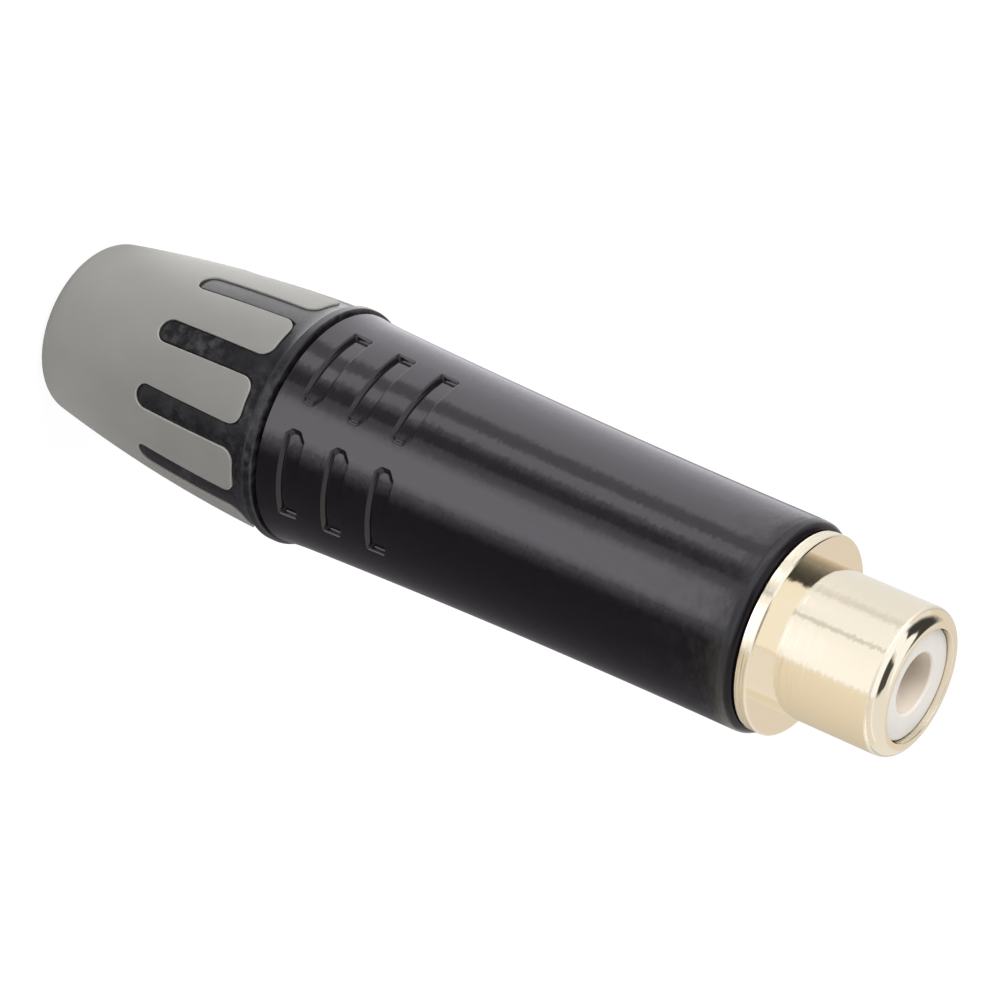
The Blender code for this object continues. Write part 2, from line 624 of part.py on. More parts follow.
def cable_chuck():
    """Collet: jaws in the nut's cone, a shoulder behind the shell, then a guide tube with two keys."""
    rear = CONE_REAR + SEAT_GAP
    slope = (CONE_FRONT_RADIUS - CONE_REAR_RADIUS) / (THREAD_REAR - CONE_REAR)
    jaw_tip = CONE_REAR_RADIUS + slope * SEAT_GAP - JAW_GAP
    shoulder_radius = CONE_FRONT_RADIUS - SHOULDER_STEP
    shoulder_rear = rear + (shoulder_radius - jaw_tip) / slope
    shoulder_front = SPIGOT_REAR - SEAT_GAP
    guide = GUIDE_BORE_RADIUS - RUNNING_GAP
    front = SPIGOT_REAR + CHUCK_GUIDE_ENGAGED
    outline = [
        (CHUCK_BORE_RADIUS, rear),
        (jaw_tip, rear),
        (shoulder_radius, shoulder_rear),
        (shoulder_radius, shoulder_front),
        (guide, shoulder_front),
        (guide, front - EDGE_CHAMFER),
        (guide - EDGE_CHAMFER, front),
        (CHUCK_BORE_RADIUS, front),
        *tooth_points(rear)[::-1],
    ]
    made = turned("cable_chuck", outline, INNER_FACETS)

    mesh = bmesh.new()
    reach = GUIDE_BORE_RADIUS + KEYWAY_DEPTH - RUNNING_GAP
    root = CHUCK_BORE_RADIUS + CHUCK_WALL / 2
    half = KEYWAY_WIDTH / 2 - RUNNING_GAP
    for turn in (0, math.pi):
        low = (root, -half, shoulder_front - (shoulder_front - shoulder_rear) / 2)
        add_box(mesh, low, (reach, half, front - 2 * EDGE_CHAMFER), turn)
    combine(made, new_object("chuck_keys", mesh), "UNION")

    slit_front = shoulder_front - JAW_ROOT
    far = 2 * shoulder_radius
    for k in range(JAWS // 2):
        mesh = bmesh.new()
        low = (-far, -JAW_SLIT_WIDTH / 2, rear - JAW_SLIT_WIDTH)
        turn = math.pi / 2 + k * math.tau / JAWS
        add_box(mesh, low, (far, JAW_SLIT_WIDTH / 2, slit_front), turn)
        combine(made, new_object("jaw_slit", mesh), "DIFFERENCE")
    material(made, "Natural acetal", (0.72, 0.71, 0.66), 0.5)


def main():
    for old in list(bpy.data.objects):
        bpy.data.objects.remove(old, do_unlink=True)
    socket_body()
    front_insulator()
    centre_contact()
    rear_insulator()
    earth_tag()
    insulating_sleeve()
    shell()
    cable_chuck()
    nut_core()
    nut_grip()


main()
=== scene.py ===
"""In-line phono socket: fine meshes, finishes, stage and camera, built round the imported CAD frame."""

import math

import bmesh
import bpy
from bpy.props import FloatProperty, FloatVectorProperty, IntProperty, PointerProperty
from mathutils import Matrix, Vector, noise


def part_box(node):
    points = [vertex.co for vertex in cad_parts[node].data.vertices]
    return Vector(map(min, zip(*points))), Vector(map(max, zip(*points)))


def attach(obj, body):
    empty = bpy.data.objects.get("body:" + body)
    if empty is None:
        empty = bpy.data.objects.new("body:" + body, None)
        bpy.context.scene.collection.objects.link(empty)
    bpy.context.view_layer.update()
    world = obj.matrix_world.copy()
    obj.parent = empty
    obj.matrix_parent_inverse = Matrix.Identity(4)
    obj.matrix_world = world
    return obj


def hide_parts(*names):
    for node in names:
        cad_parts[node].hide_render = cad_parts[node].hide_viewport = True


bl_info = {
    "name": "In-line phono socket",
    "version": (1, 0, 0),
    "blender": (4, 5, 0),
    "location": "3D View > Sidebar > Phono socket",
    "description": "Builds a cable phono socket from its separate pieces, with its finishes and a stage",
    "category": "Add Mesh",
}

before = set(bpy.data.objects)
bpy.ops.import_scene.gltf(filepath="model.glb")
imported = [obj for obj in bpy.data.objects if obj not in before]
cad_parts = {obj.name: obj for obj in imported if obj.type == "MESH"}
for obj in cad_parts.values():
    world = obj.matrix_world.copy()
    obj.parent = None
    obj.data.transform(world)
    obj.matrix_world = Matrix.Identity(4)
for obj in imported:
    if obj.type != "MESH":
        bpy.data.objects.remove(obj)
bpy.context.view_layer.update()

# Places taken from the frame, so that each piece sits where its CAD node does
NUT_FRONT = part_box("nut_core")[1].z
PAD_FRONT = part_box("nut_grip")[1].z
SPIGOT_REAR, SHELL_FRONT = (corner.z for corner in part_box("shell"))
SOCKET_REAR, MOUTH = (corner.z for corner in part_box("socket_body"))
SLEEVE_REAR, SLEEVE_FRONT = (corner.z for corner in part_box("insulating_sleeve"))
CONTACT_REAR, CONTACT_FRONT = (corner.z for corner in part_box("centre_contact"))
WASHER_REAR, WASHER_FRONT = (corner.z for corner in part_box("rear_insulator"))
TAG_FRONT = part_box("earth_tag")[1].z
INSULATOR_REAR, INSULATOR_FRONT = (corner.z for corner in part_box("front_insulator"))
CHUCK_REAR, CHUCK_FRONT = (corner.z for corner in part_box("cable_chuck"))

# Places that two pieces share
SHELL_REAR = NUT_FRONT + 0.0002
FLANGE_REAR = SHELL_FRONT + 0.0001
GUIDE_FRONT = SLEEVE_REAR - 0.0001
THREAD_REAR = SPIGOT_REAR - 0.0006
CONE_REAR = 0.0023
CONE_REAR_RADIUS = 0.00385
CONE_FRONT_RADIUS = 0.0052

THREAD_DEPTH = 0.00034
FINE_THREAD_DEPTH = 0.00026
FIRST_BAR = math.radians(-66.6)
TURN = 2 * math.pi
SAME = 1e-7  # two radii nearer to each other than this are the same


def linear(code):
    """An sRGB hex colour as linear red, green and blue."""
    parts = [int(code[k : k + 2], 16) / 255 for k in (0, 2, 4)]
    return tuple(c / 12.92 if c <= 0.04045 else ((c + 0.055) / 1.055) ** 2.4 for c in parts)


def length(name, default, text):
    return FloatProperty(name=name, description=text, default=default, min=0, unit="LENGTH", precision=5)


def strength(name, default, text):
    return FloatProperty(name=name, description=text, default=default, min=0)


def colour(name, code, text):
    shade = linear(code)
    return FloatVectorProperty(
        name=name, description=text, default=shade, size=3, min=0, max=1, subtype="COLOR"
    )


class NutSizes(bpy.types.PropertyGroup):
    front_radius: length("Front radius", 0.00678, "Outer radius where the pads end")
    rear_radius: length("Rear radius", 0.00497, "Outer radius that the side runs to at the rear face")
    bulge: length("Bulge", 0.000316, "How far the side stands out of a straight taper")
    rear_round: length("Rear round", 0.0010, "Radius of the rear edge")
    lip_radius: length("Lip radius", 0.00695, "Outer radius of the flared lip")
    lip_width: length("Lip width", 0.0005, "Length of the lip's rim")
    lip_round: length("Lip round", 0.00013, "Radius of the lip's front edge")
    pad_thickness: length("Pad thickness", 0.0006, "How thick the soft grip is")
    bar_length: length("Bar length", 0.0074, "Length of the bars between the pads")
    bar_width: length("Bar width", 0.00145, "Width of the bars between the pads")
    bar_recess: length("Bar recess", 0.00012, "How far the bars lie below the pads")
    corner_round: length("Pad corner", 0.00075, "Radius of the pads' front corners")
    edge_round: length("Pad edge", 0.00004, "Rounding of the pads' outer edges")
    cable_hole: length("Cable hole", 0.0033, "Radius of the hole for the cable")
    thread_radius: length("Thread radius", 0.0054, "Major radius of the thread on the shell")
    pads: IntProperty(name="Pads", description="Pads round the nut", default=10, min=3, max=24)


class ShellSizes(bpy.types.PropertyGroup):
    front_radius: length("Front radius", 0.00596, "Outer radius at the mouth's end")
    rear_radius: length("Rear radius", 0.00665, "Outer radius at the nut's end")
    rim_flare: length("Rim flare", 0.0001, "How far the rear rim flares")
    spigot_radius: length("Spigot radius", 0.0053, "Major radius of the thread for the nut")
    spigot_pitch: length("Spigot pitch", 0.0010, "Pitch of the thread for the nut")
    chamber_radius: length("Chamber radius", 0.0048, "Inner radius round the socket body")
    guide_radius: length("Guide radius", 0.0042, "Inner radius round the cable chuck")
    groove_width: length("Groove width", 0.00142, "Width of each grip groove at its edges")
    groove_wall: length("Groove wall", 0.00037, "Width of a groove's sloping wall on the nut's side")
    groove_steep: length("Steep wall", 0.0002, "Width of a groove's wall on the mouth's side")
    groove_near_depth: length("Near depth", 0.0002, "Depth at the groove's pointed end")
    groove_far_depth: length("Far depth", 0.0003, "Depth at the groove's square end")
    edge_wobble: length("Edge wobble", 0.00006, "How uneven the lacquer's front edge is")


class SocketSizes(bpy.types.PropertyGroup):
    barrel_radius: length("Barrel radius", 0.00415, "Outer radius of the earth contact")
    bore_radius: length("Bore radius", 0.00317, "Radius of the barrel's bore")
    lip_round: length("Lip round", 0.0008, "Radius of the mouth's outer edge")
    flange_radius: length("Flange radius", 0.0056, "Radius of the flange")
    flange_thickness: length("Flange thickness", 0.00075, "Thickness of the flange")
    thread_radius: length("Thread radius", 0.0047, "Major radius of the thread in the shell")
    thread_pitch: length("Thread pitch", 0.00075, "Pitch of the thread in the shell")
    neck_radius: length("Neck radius", 0.00415, "Radius of the neck that the sleeve fits")
    pin_hole: length("Pin hole", 0.0017, "Radius of the hole for the plug's pin")
    contact_radius: length("Contact radius", 0.00205, "Outer radius of the centre contact")
    contact_bore: length("Contact bore", 0.0016, "Inner radius of the centre contact")


class FinishColours(bpy.types.PropertyGroup):
    grip: colour("Grip", "8F8D89", "Soft grey grip")
    nut: colour("Nut", "1A181B", "Hard black half of the nut")
    shell: colour("Shell", "1A161A", "Lacquered shell")
    gilt: colour("Gilt", "F6EBD6", "Gold plating")
    insulator: colour("Insulator", "E5E1DB", "White insulator")
    chuck: colour("Chuck", "D8D5CC", "Cable chuck")
    laminate: colour("Laminate", "6A4A2E", "Rear insulating washer")
    tin: colour("Tin", "C9C7C0", "Tinned earth tag")


class StageSettings(bpy.types.PropertyGroup):
    floor_size: length("Floor size", 1.6, "Width of the floor")
    key_power: strength("Key light", 1.5, "Power of the large soft light")
    fill_power: strength("Fill light", 0.6, "Power of the light on the far side")
    sky_level: strength("Sky level", 0.62, "Brightness of the room round it")


def spaced(low, high, count):
    return [low + (high - low) * k / count for k in range(count + 1)]


def arc(centre, radius, start, end, steps):
    """Points of an arc, its angles in degrees from the first axis to the second."""
    turns = [math.radians(a) for a in spaced(start, end, steps)]
    return [(centre[0] + radius * math.cos(a), centre[1] + radius * math.sin(a)) for a in turns]


def section(inner, outer, rear, front):
    """The profile of a plain ring."""
    return [(inner, rear), (outer, rear), (outer, front), (inner, front)]


def smooth_step(low, high, value):
    share = min(1.0, max(0.0, (value - low) / (high - low)))
    return share * share * (3 - 2 * share)


def rounded(profile, radius):
    """A closed profile with each corner replaced by a small curve, no longer than its sides allow."""
    points = [Vector(p) for p in profile]
    made = []
    for k, here in enumerate(points):
        before = points[k - 1] - here
        after = points[(k + 1) % len(points)] - here
        cut = min(radius, 0.45 * before.length, 0.45 * after.length)
        first = here + before.normalized() * cut
        last = here + after.normalized() * cut
        for share in spaced(0, 1, 3):
            made.append(tuple(first.lerp(here, share).lerp(here.lerp(last, share), share)))
    return made


def held(profile):
    """A closed profile with an extra point beside each rounded edge, so that the flat there shades flat."""
    shortest, slightest_bend, corner = 4e-5, 0.03, 0.61
    points = [Vector(p) for p in profile]
    count = len(points)
    made = []
    for k, here in enumerate(points):
        before, after, beyond = points[k - 1], points[(k + 1) % count], points[(k + 2) % count]
        made.append(tuple(here))
        run = after - here
        if run.length < shortest:
            continue
        for end, arriving in ((here, here - before), (after, beyond - after)):
            bend = run.angle(arriving, 0)
            if slightest_bend < bend < corner and run.length > 2.5 * arriving.length:
                offset = min(0.4 * arriving.length, 0.3 * run.length)
                inward = offset if end is here else -offset
                made.append(tuple(end + run.normalized() * inward))
    return made


def smoothed(data, sharp=35):
    """Shades a mesh smooth but for edges sharper than an angle in degrees."""
    data.shade_smooth()
    data.set_sharp_from_angle(angle=math.radians(sharp))


def mesh_data(name, mesh):
    """A bmesh's mesh data; the bmesh is used up."""
    data = bpy.data.meshes.new(name)
    mesh.to_mesh(data)
    mesh.free()
    return data


def linked(name, data):
    """An object at the origin, in the scene."""
    made = bpy.data.objects.new(name, data)
    bpy.context.scene.collection.objects.link(made)
    return made


def mesh_object(name, mesh, sharp=35):
    """Turns a bmesh into an object at the origin, with no doubled points and its faces outwards."""
    bmesh.ops.remove_doubles(mesh, verts=mesh.verts, dist=2e-8)
    bmesh.ops.recalc_face_normals(mesh, faces=mesh.faces)
    data = mesh_data(name, mesh)
    smoothed(data, sharp)
    return linked(name, data)


def turned(name, profile, facets):
    """A ring turned about Z from a closed profile of (radius, height) points."""
    mesh = bmesh.new()
    corners = [mesh.verts.new((radius, 0, height)) for radius, height in held(profile)]
    edges = [mesh.edges.new(pair) for pair in zip(corners, corners[1:])]
    if profile[0][0] > SAME:
        edges.append(mesh.edges.new((corners[-1], corners[0])))
    bmesh.ops.spin(
        mesh,
        geom=corners + edges,
        axis=(0, 0, 1),
        cent=(0, 0, 0),
        angle=TURN,
        steps=facets,
        use_merge=True,
    )
    return mesh_object(name, mesh)


def wrapped(name, profile, angles, relief):
    """A grid wrapped round Z, its rows on a closed profile and its columns at the angles, with a relief.

    relief(angle, radius, height) gives how far a point moves in towards the axis."""
    profile = held(profile)
    mesh = bmesh.new()
    columns, rows = len(angles), len(profile)
    bmesh.ops.create_grid(mesh, x_segments=columns, y_segments=rows, size=1)
    for vert in mesh.verts:
        angle = angles[round((vert.co.x + 1) / 2 * columns) % columns]
        radius, height = profile[round((vert.co.y + 1) / 2 * rows) % rows]
        radius -= relief(angle, radius, height)
        vert.co = (radius * math.cos(angle), radius * math.sin(angle), height)
    return mesh_object(name, mesh)


def baked(made, *cutters, operation="DIFFERENCE"):
    """Applies Boolean steps with helper objects to a piece's mesh, and removes the helpers."""
    for cutter in cutters:
        step = made.modifiers.new(cutter.name, "BOOLEAN")
        step.operation = operation
        step.solver = "EXACT"
        step.object = cutter
    bpy.context.view_layer.update()
    evaluated = made.evaluated_get(bpy.context.evaluated_depsgraph_get())
    data = bpy.data.meshes.new_from_object(evaluated)
    made.modifiers.clear()
    old = made.data
    made.data = data
    data.name = made.name
    bpy.data.meshes.remove(old)
    for cutter in cutters:
        bpy.data.objects.remove(cutter)
    smoothed(data)


def softened(made, width):
    """Rounds every edge that is sharper than 40 degrees."""
    step = made.modifiers.new("Edge rounding", "BEVEL")
    step.width = width
    step.segments = 2
    step.limit_method = "ANGLE"
    step.angle_limit = math.radians(40)
    step.use_clamp_overlap = True


def box_object(name, low, high, turn=0.0):
    """A box between two corners, turned about Z by an angle in radians."""
    mesh = bmesh.new()
    size = [b - a for a, b in zip(low, high)]
    middle = [(a + b) / 2 for a, b in zip(low, high)]
    place = Matrix.Translation(middle) @ Matrix.Diagonal((*size, 1))
    bmesh.ops.create_cube(mesh, size=1, matrix=Matrix.Rotation(turn, 4, "Z") @ place)
    return mesh_object(name, mesh)


def slab(outline, reach):
    """A flat outline drawn out along a vector, as a bmesh."""
    mesh = bmesh.new()
    face = mesh.faces.new([mesh.verts.new(point) for point in outline])
    made = bmesh.ops.extrude_face_region(mesh, geom=[face])["geom"]
    far = [item for item in made if isinstance(item, bmesh.types.BMVert)]
    bmesh.ops.translate(mesh, verts=far, vec=reach)
    bmesh.ops.recalc_face_normals(mesh, faces=mesh.faces)
    return mesh


def thread_relief(pitch, depth, low, high, phase, male):
    """Relief of a right-handed thread, male or female, which fades to its root at both ends."""

    def relief(angle, height):
        fade = smooth_step(low, low + pitch, height) * (1 - smooth_step(high - pitch, high, height))
        wave = math.cos(TURN * ((height - phase) / pitch - angle / TURN))
        shaped = max(-1.0, min(1.0, 1.35 * wave))
        return depth * (1 - fade * (1 + shaped) / 2) if male else depth * fade * (1 - shaped) / 2

    return relief


def only_at(radius, thread):
    """A thread's relief for one radius of a piece alone."""

    def relief(angle, here, height):
        return thread(angle, height) if abs(here - radius) < SAME else 0.0

    return relief


def set_inputs(tree, node, inputs):
    """Gives each named input of a node a value or a link."""
    for key, value in inputs.items():
        if isinstance(value, bpy.types.NodeSocket):
            tree.links.new(value, node.inputs[key])
        else:
            node.inputs[key].default_value = value


def add_node(tree, kind, inputs=None, **settings):
    """Adds a node, with its own settings, and gives each named input a value or a link."""
    node = tree.nodes.new(kind)
    for name, value in settings.items():
        setattr(node, name, value)
    set_inputs(tree, node, inputs or {})
    return node


def noise_of(tree, place, scale, detail, roughness=0.5):
    """A noise texture's value at a place."""
    inputs = {"Vector": place, "Scale": scale, "Detail": detail, "Roughness": roughness}
    return add_node(tree, "ShaderNodeTexNoise", inputs).outputs[0]


def ramp(tree, value, *stops):
    """A value through a Color Ramp with two stops, each a place and a grey level."""
    node = add_node(tree, "ShaderNodeValToRGB", {0: value})
    for element, (place, level) in zip(node.color_ramp.elements, stops):
        element.position = place
        element.color = (level, level, level, 1)
    return node.outputs[0]


def ranged(tree, value, low, high, to_low=0.0, to_high=1.0):
    """A value carried from one range to another."""
    inputs = {0: value, 1: low, 2: high, 3: to_low, 4: to_high}
    return add_node(tree, "ShaderNodeMapRange", inputs).outputs[0]


def mixed(tree, share, first, second, blend="MIX"):
    """Two colours, mixed by the share that the second one has."""
    inputs = {0: share, 6: first, 7: second}
    return add_node(tree, "ShaderNodeMix", inputs, data_type="RGBA", blend_type=blend).outputs[2]


def times(tree, first, second):
    """One value times another."""
    return add_node(tree, "ShaderNodeMath", {0: first, 1: second}, operation="MULTIPLY").outputs[0]


def vector_of(tree, operation, *inputs):
    """A vector sum, product or length."""
    return add_node(tree, "ShaderNodeVectorMath", dict(enumerate(inputs)), operation=operation)


def scaled(tree, vector, scale):
    """A vector times a single value."""
    return add_node(tree, "ShaderNodeVectorMath", {0: vector, "Scale": scale}, operation="SCALE").outputs[0]


def stretched(tree, place, scale):
    """Coordinates times a scale for each axis."""
    return add_node(tree, "ShaderNodeMapping", {"Vector": place, "Scale": scale}).outputs[0]


def bumped(tree, height, power, distance, normal=None):
    """A normal tilted by a height, on top of another normal if one is given."""
    inputs = {"Strength": power, "Distance": distance, "Height": height}
    if normal:
        inputs["Normal"] = normal
    return add_node(tree, "ShaderNodeBump", inputs).outputs[0]


def blank_material(name):
    """A material with only its Principled shader and output: (material, tree, shader)."""
    made = bpy.data.materials.new(name)
    made.use_nodes = True
    return made, made.node_tree, made.node_tree.nodes["Principled BSDF"]


def own_place(tree):
    """The object's own coordinates."""
    return add_node(tree, "ShaderNodeTexCoord").outputs["Object"]


def split(tree, place):
    """The three parts of a place, by name."""
    return add_node(tree, "ShaderNodeSeparateXYZ", {0: place}).outputs


def turned_coordinates(tree, place):
    """Coordinates that follow a turned piece: distance from the axis, way round in radians, and height."""
    flat = vector_of(tree, "MULTIPLY", place, (1, 1, 0)).outputs[0]
    away = vector_of(tree, "LENGTH", flat).outputs["Value"]
    parts = split(tree, place)
    turn = add_node(tree, "ShaderNodeMath", {0: parts["Y"], 1: parts["X"]}, operation="ARCTAN2").outputs[0]
    return add_node(tree, "ShaderNodeCombineXYZ", {0: away, 1: turn, 2: parts["Z"]}).outputs[0]


def combed(tree, coordinates, scale, tilt):
    """A normal tilted a little to and fro round the axis, stroke by stroke, as polishing leaves it."""
    strokes = noise_of(tree, stretched(tree, coordinates, scale), 1, 2)
    lean = ranged(tree, strokes, 0.25, 0.75, -tilt, tilt)
    normal = add_node(tree, "ShaderNodeNewGeometry").outputs["Normal"]
    sideways = vector_of(tree, "CROSS_PRODUCT", (0, 0, 1), normal).outputs[0]
    tilted = vector_of(tree, "ADD", normal, scaled(tree, sideways, lean)).outputs[0]
    return vector_of(tree, "NORMALIZE", tilted).outputs[0]


# Thermoplastic elastomer, moulded over the nut: matt, softly mottled, with a few specks of dust in it, and
# with painted shade that darkens it towards the pads' front
def elastomer(shade):
    made, tree, shader = blank_material("Moulded elastomer, grey")
    place = own_place(tree)
    tone = ramp(tree, noise_of(tree, place, 260, 4), (0.3, 0.93), (0.7, 1.03))
    specks = add_node(tree, "ShaderNodeTexVoronoi", {"Vector": place, "Scale": 330}).outputs
    dot = ramp(tree, specks["Distance"], (0.0, 0.3), (0.045, 1.0))
    left_out = ramp(tree, specks["Color"], (0.62, 1.0), (0.63, 0.0))
    dust = mixed(tree, left_out, dot, (1, 1, 1, 1))
    # Painted shade: the grey is darkened from the rear face towards the pads' front, where the light is
    # weaker
    painted_shade_to_front = ranged(tree, split(tree, place)["Z"], 0.001, PAD_FRONT, 1.02, 0.86)
    toned = mixed(tree, 1.0, scaled(tree, shade, painted_shade_to_front), tone, "MULTIPLY")
    dusted = mixed(tree, 1.0, toned, dust, "MULTIPLY")
    rim = add_node(tree, "ShaderNodeAttribute", attribute_name="rim").outputs["Fac"]
    inputs = {
        "Base Color": mixed(tree, times(tree, rim, 0.3), dusted, (*linear("D0D0CA"), 1)),
        "Roughness": 0.55,
        "Normal": bumped(tree, noise_of(tree, place, 9000, 2), 0.12, 0.00002),
    }
    set_inputs(tree, shader, inputs)
    return made


# Nylon, moulded: satin black, with a bloom of dust and light scuffs from handling
def nylon(shade):
    made, tree, shader = blank_material("Moulded nylon, black")
    place = own_place(tree)
    cloud = noise_of(tree, place, 1500, 6, 0.75)
    dust = ramp(tree, cloud, (0.47, 0.0), (0.7, 0.8))
    where = ramp(tree, noise_of(tree, place, 190, 2), (0.42, 0.1), (0.64, 1.0))
    inputs = {
        "Base Color": mixed(tree, times(tree, dust, where), (*shade, 1), (*linear("504E51"), 1)),
        "Roughness": ranged(tree, cloud, 0.3, 0.7, 0.22, 0.42),
        "Specular IOR Level": 0.38,
        "Normal": bumped(tree, noise_of(tree, place, 3600, 3), 0.25, 0.00002),
    }
    set_inputs(tree, shader, inputs)
    return made


# Stoved lacquer on die-cast zinc: glossy black, with orange peel, and combed by the polishing under it.
# It shines less round the front edge, which lies in its own shade.
def lacquer(shade):
    made, tree, shader = blank_material("Stoved lacquer, black")
    place = own_place(tree)
    height, edge = split(tree, place)["Z"], SHELL_FRONT - 0.0002
    comb = combed(tree, turned_coordinates(tree, place), (3600, 14, 8000), 0.022)
    peel = bumped(tree, noise_of(tree, place, 800, 2), 0.3, 0.00003, comb)
    inputs = {
        "Base Color": (*shade, 1),
        "Roughness": ranged(tree, noise_of(tree, place, 1300, 5, 0.6), 0.35, 0.7, 0.07, 0.15),
        "Specular IOR Level": ranged(tree, height, edge - 0.00015, edge, 0.5, 0.15),
        "Normal": bumped(tree, noise_of(tree, place, 5200, 2), 0.1, 0.00001, peel),
    }
    set_inputs(tree, shader, inputs)
    return made


# Brass, turned and plated: pale and mirror bright, with the tool's fine rings left under the plating
def plating(name, shade, roughness):
    made, tree, shader = blank_material(name)
    place = own_place(tree)
    round_axis = turned_coordinates(tree, place)
    rings = noise_of(tree, stretched(tree, round_axis, (9000, 2, 9000)), 1, 2)
    cut = bumped(tree, rings, 0.12, 0.00001, combed(tree, round_axis, (5000, 9, 5000), 0.024))
    inputs = {
        "Base Color": (*shade, 1),
        "Metallic": 1.0,
        "Roughness": ranged(tree, rings, 0.3, 0.7, 0.7 * roughness, 1.3 * roughness),
        "Normal": bumped(tree, noise_of(tree, place, 420, 2), 0.1, 0.00003, cut),
    }
    set_inputs(tree, shader, inputs)
    return made


# A moulded or sheet plastic: faint mottle and a fine grain. hole is the radius of a bore and the colour
# painted on its wall, painted shade and warm bounced light
def plastic(name, shade, roughness, hole=None):
    made, tree, shader = blank_material(name)
    place = own_place(tree)
    tone = ramp(tree, noise_of(tree, place, 900, 3), (0.3, 0.95), (0.7, 1.0))
    base = mixed(tree, 1.0, (*shade, 1), tone, "MULTIPLY")
    if hole:
        # The bore's wall is painted a warmer, darker colour: painted shade and warm bounced light inside
        # the hole
        radius, painted_bore_shade = hole
        away = split(tree, turned_coordinates(tree, place))["X"]
        base = mixed(tree, ranged(tree, away, 1.0001 * radius, 1.06 * radius), (*painted_bore_shade, 1), base)
    grain = noise_of(tree, place, 7000, 2)
    inputs = {"Base Color": base, "Roughness": roughness, "Normal": bumped(tree, grain, 0.1, 0.00001)}
    set_inputs(tree, shader, inputs)
    return made


# Polypropylene, extruded: clear and smooth, with faint lines where it was drawn through the die
def polypropylene():
    made, tree, shader = blank_material("Extruded polypropylene, clear")
    drawn = noise_of(tree, stretched(tree, own_place(tree), (3000, 3000, 120)), 1, 2)
    inputs = {
        "Base Color": (*linear("E4E6E6"), 1),
        "Roughness": 0.25,
        "Transmission Weight": 0.75,
        "IOR": 1.49,
        "Normal": bumped(tree, drawn, 0.2, 0.00001),
    }
    set_inputs(tree, shader, inputs)
    return made


def finish_piece(made, material, body, node, slot):
    """Gives a piece its finish, and has it ride on its body in place of its CAD node."""
    made.data.materials.clear()
    made.data.materials.append(material)
    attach(made, body)
    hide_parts(node)


class Piece:
    """Runs an operator's build, which gives an object and its finish. part is its body, node and slot."""

    def execute(self, context):
        made, finish = self.build(context.scene)
        finish_piece(made, finish, *self.part)
        return {"FINISHED"}


def nut_radius(sizes, height):
    share = height / PAD_FRONT
    straight = sizes.rear_radius + (sizes.front_radius - sizes.rear_radius) * share
    return straight + 4 * sizes.bulge * share * (1 - share)


def grip_path(sizes):
    """The grip's outside from its cable hole, round the rear edge and up the side.

    Each point is (radius, height, turn), and turn is the outward normal's angle above the horizontal."""
    tiny = 1e-5
    lean = math.atan((nut_radius(sizes, sizes.rear_round) - nut_radius(sizes, 0)) / sizes.rear_round)
    top = sizes.rear_round * (1 - math.sin(lean))
    centre = (nut_radius(sizes, top) - sizes.rear_round * math.cos(lean), sizes.rear_round)
    path = [(radius, 0.0, -math.pi / 2) for radius in spaced(sizes.cable_hole, centre[0], 4)[:-1]]
    for turn in spaced(-math.pi / 2, -lean, 14):
        across, up = sizes.rear_round * math.cos(turn), sizes.rear_round * math.sin(turn)
        path.append((centre[0] + across, centre[1] + up, turn))
    for height in spaced(top, PAD_FRONT, 44)[1:]:
        slope = (nut_radius(sizes, height + tiny) - nut_radius(sizes, height - tiny)) / (2 * tiny)
        path.append((nut_radius(sizes, height), height, -math.atan(slope)))
    return path


def path_lengths(path):
    run = [0.0]
    for (r0, z0, _), (r1, z1, _) in zip(path, path[1:]):
        run.append(run[-1] + math.hypot(r1 - r0, z1 - z0))
    return run


def on_path(path, run, along):
    """The path's radius, height and normal at a distance along it."""
    along = min(max(along, 0.0), run[-1])
    k = 0
    while k < len(run) - 2 and run[k + 1] < along:
        k += 1
    share = (along - run[k]) / (run[k + 1] - run[k])
    return tuple(a + (b - a) * share for a, b in zip(path[k], path[k + 1]))


def along_of(path, run, height):
    """The distance along the path to a height on the side, or straight on beyond its front end."""
    for (_, low, _), (_, high, _), start, end in zip(path, path[1:], run, run[1:]):
        if low <= height <= high and high > low:
            return start + (height - low) / (high - low) * (end - start)
    return run[-1] + (height - PAD_FRONT)


def plate_outline(sizes, path, run, grow):
    """One bar's share of the grip laid flat, with the window for the bar cut in from its front."""
    half = sizes.bar_width / 2
    rear_end = (0, PAD_FRONT - sizes.bar_length + half)
    corner = (half + sizes.corner_round, PAD_FRONT - sizes.corner_round)
    window = arc(rear_end, half - grow, -90, 0, 10) + arc(corner, sizes.corner_round + grow, 180, 90, 9)
    right = []
    for across, height in window:
        angle = math.asin(min(0.9, across / nut_radius(sizes, min(height, PAD_FRONT))))
        right.append((angle * sizes.front_radius, along_of(path, run, height)))
    border = math.pi / sizes.pads * sizes.front_radius
    front = along_of(path, run, PAD_FRONT + grow)
    outline = [(-border, 0), (border, 0), (border, front)]
    return border, outline + right[::-1] + [(-x, y) for x, y in right[1:]] + [(-border, front)]


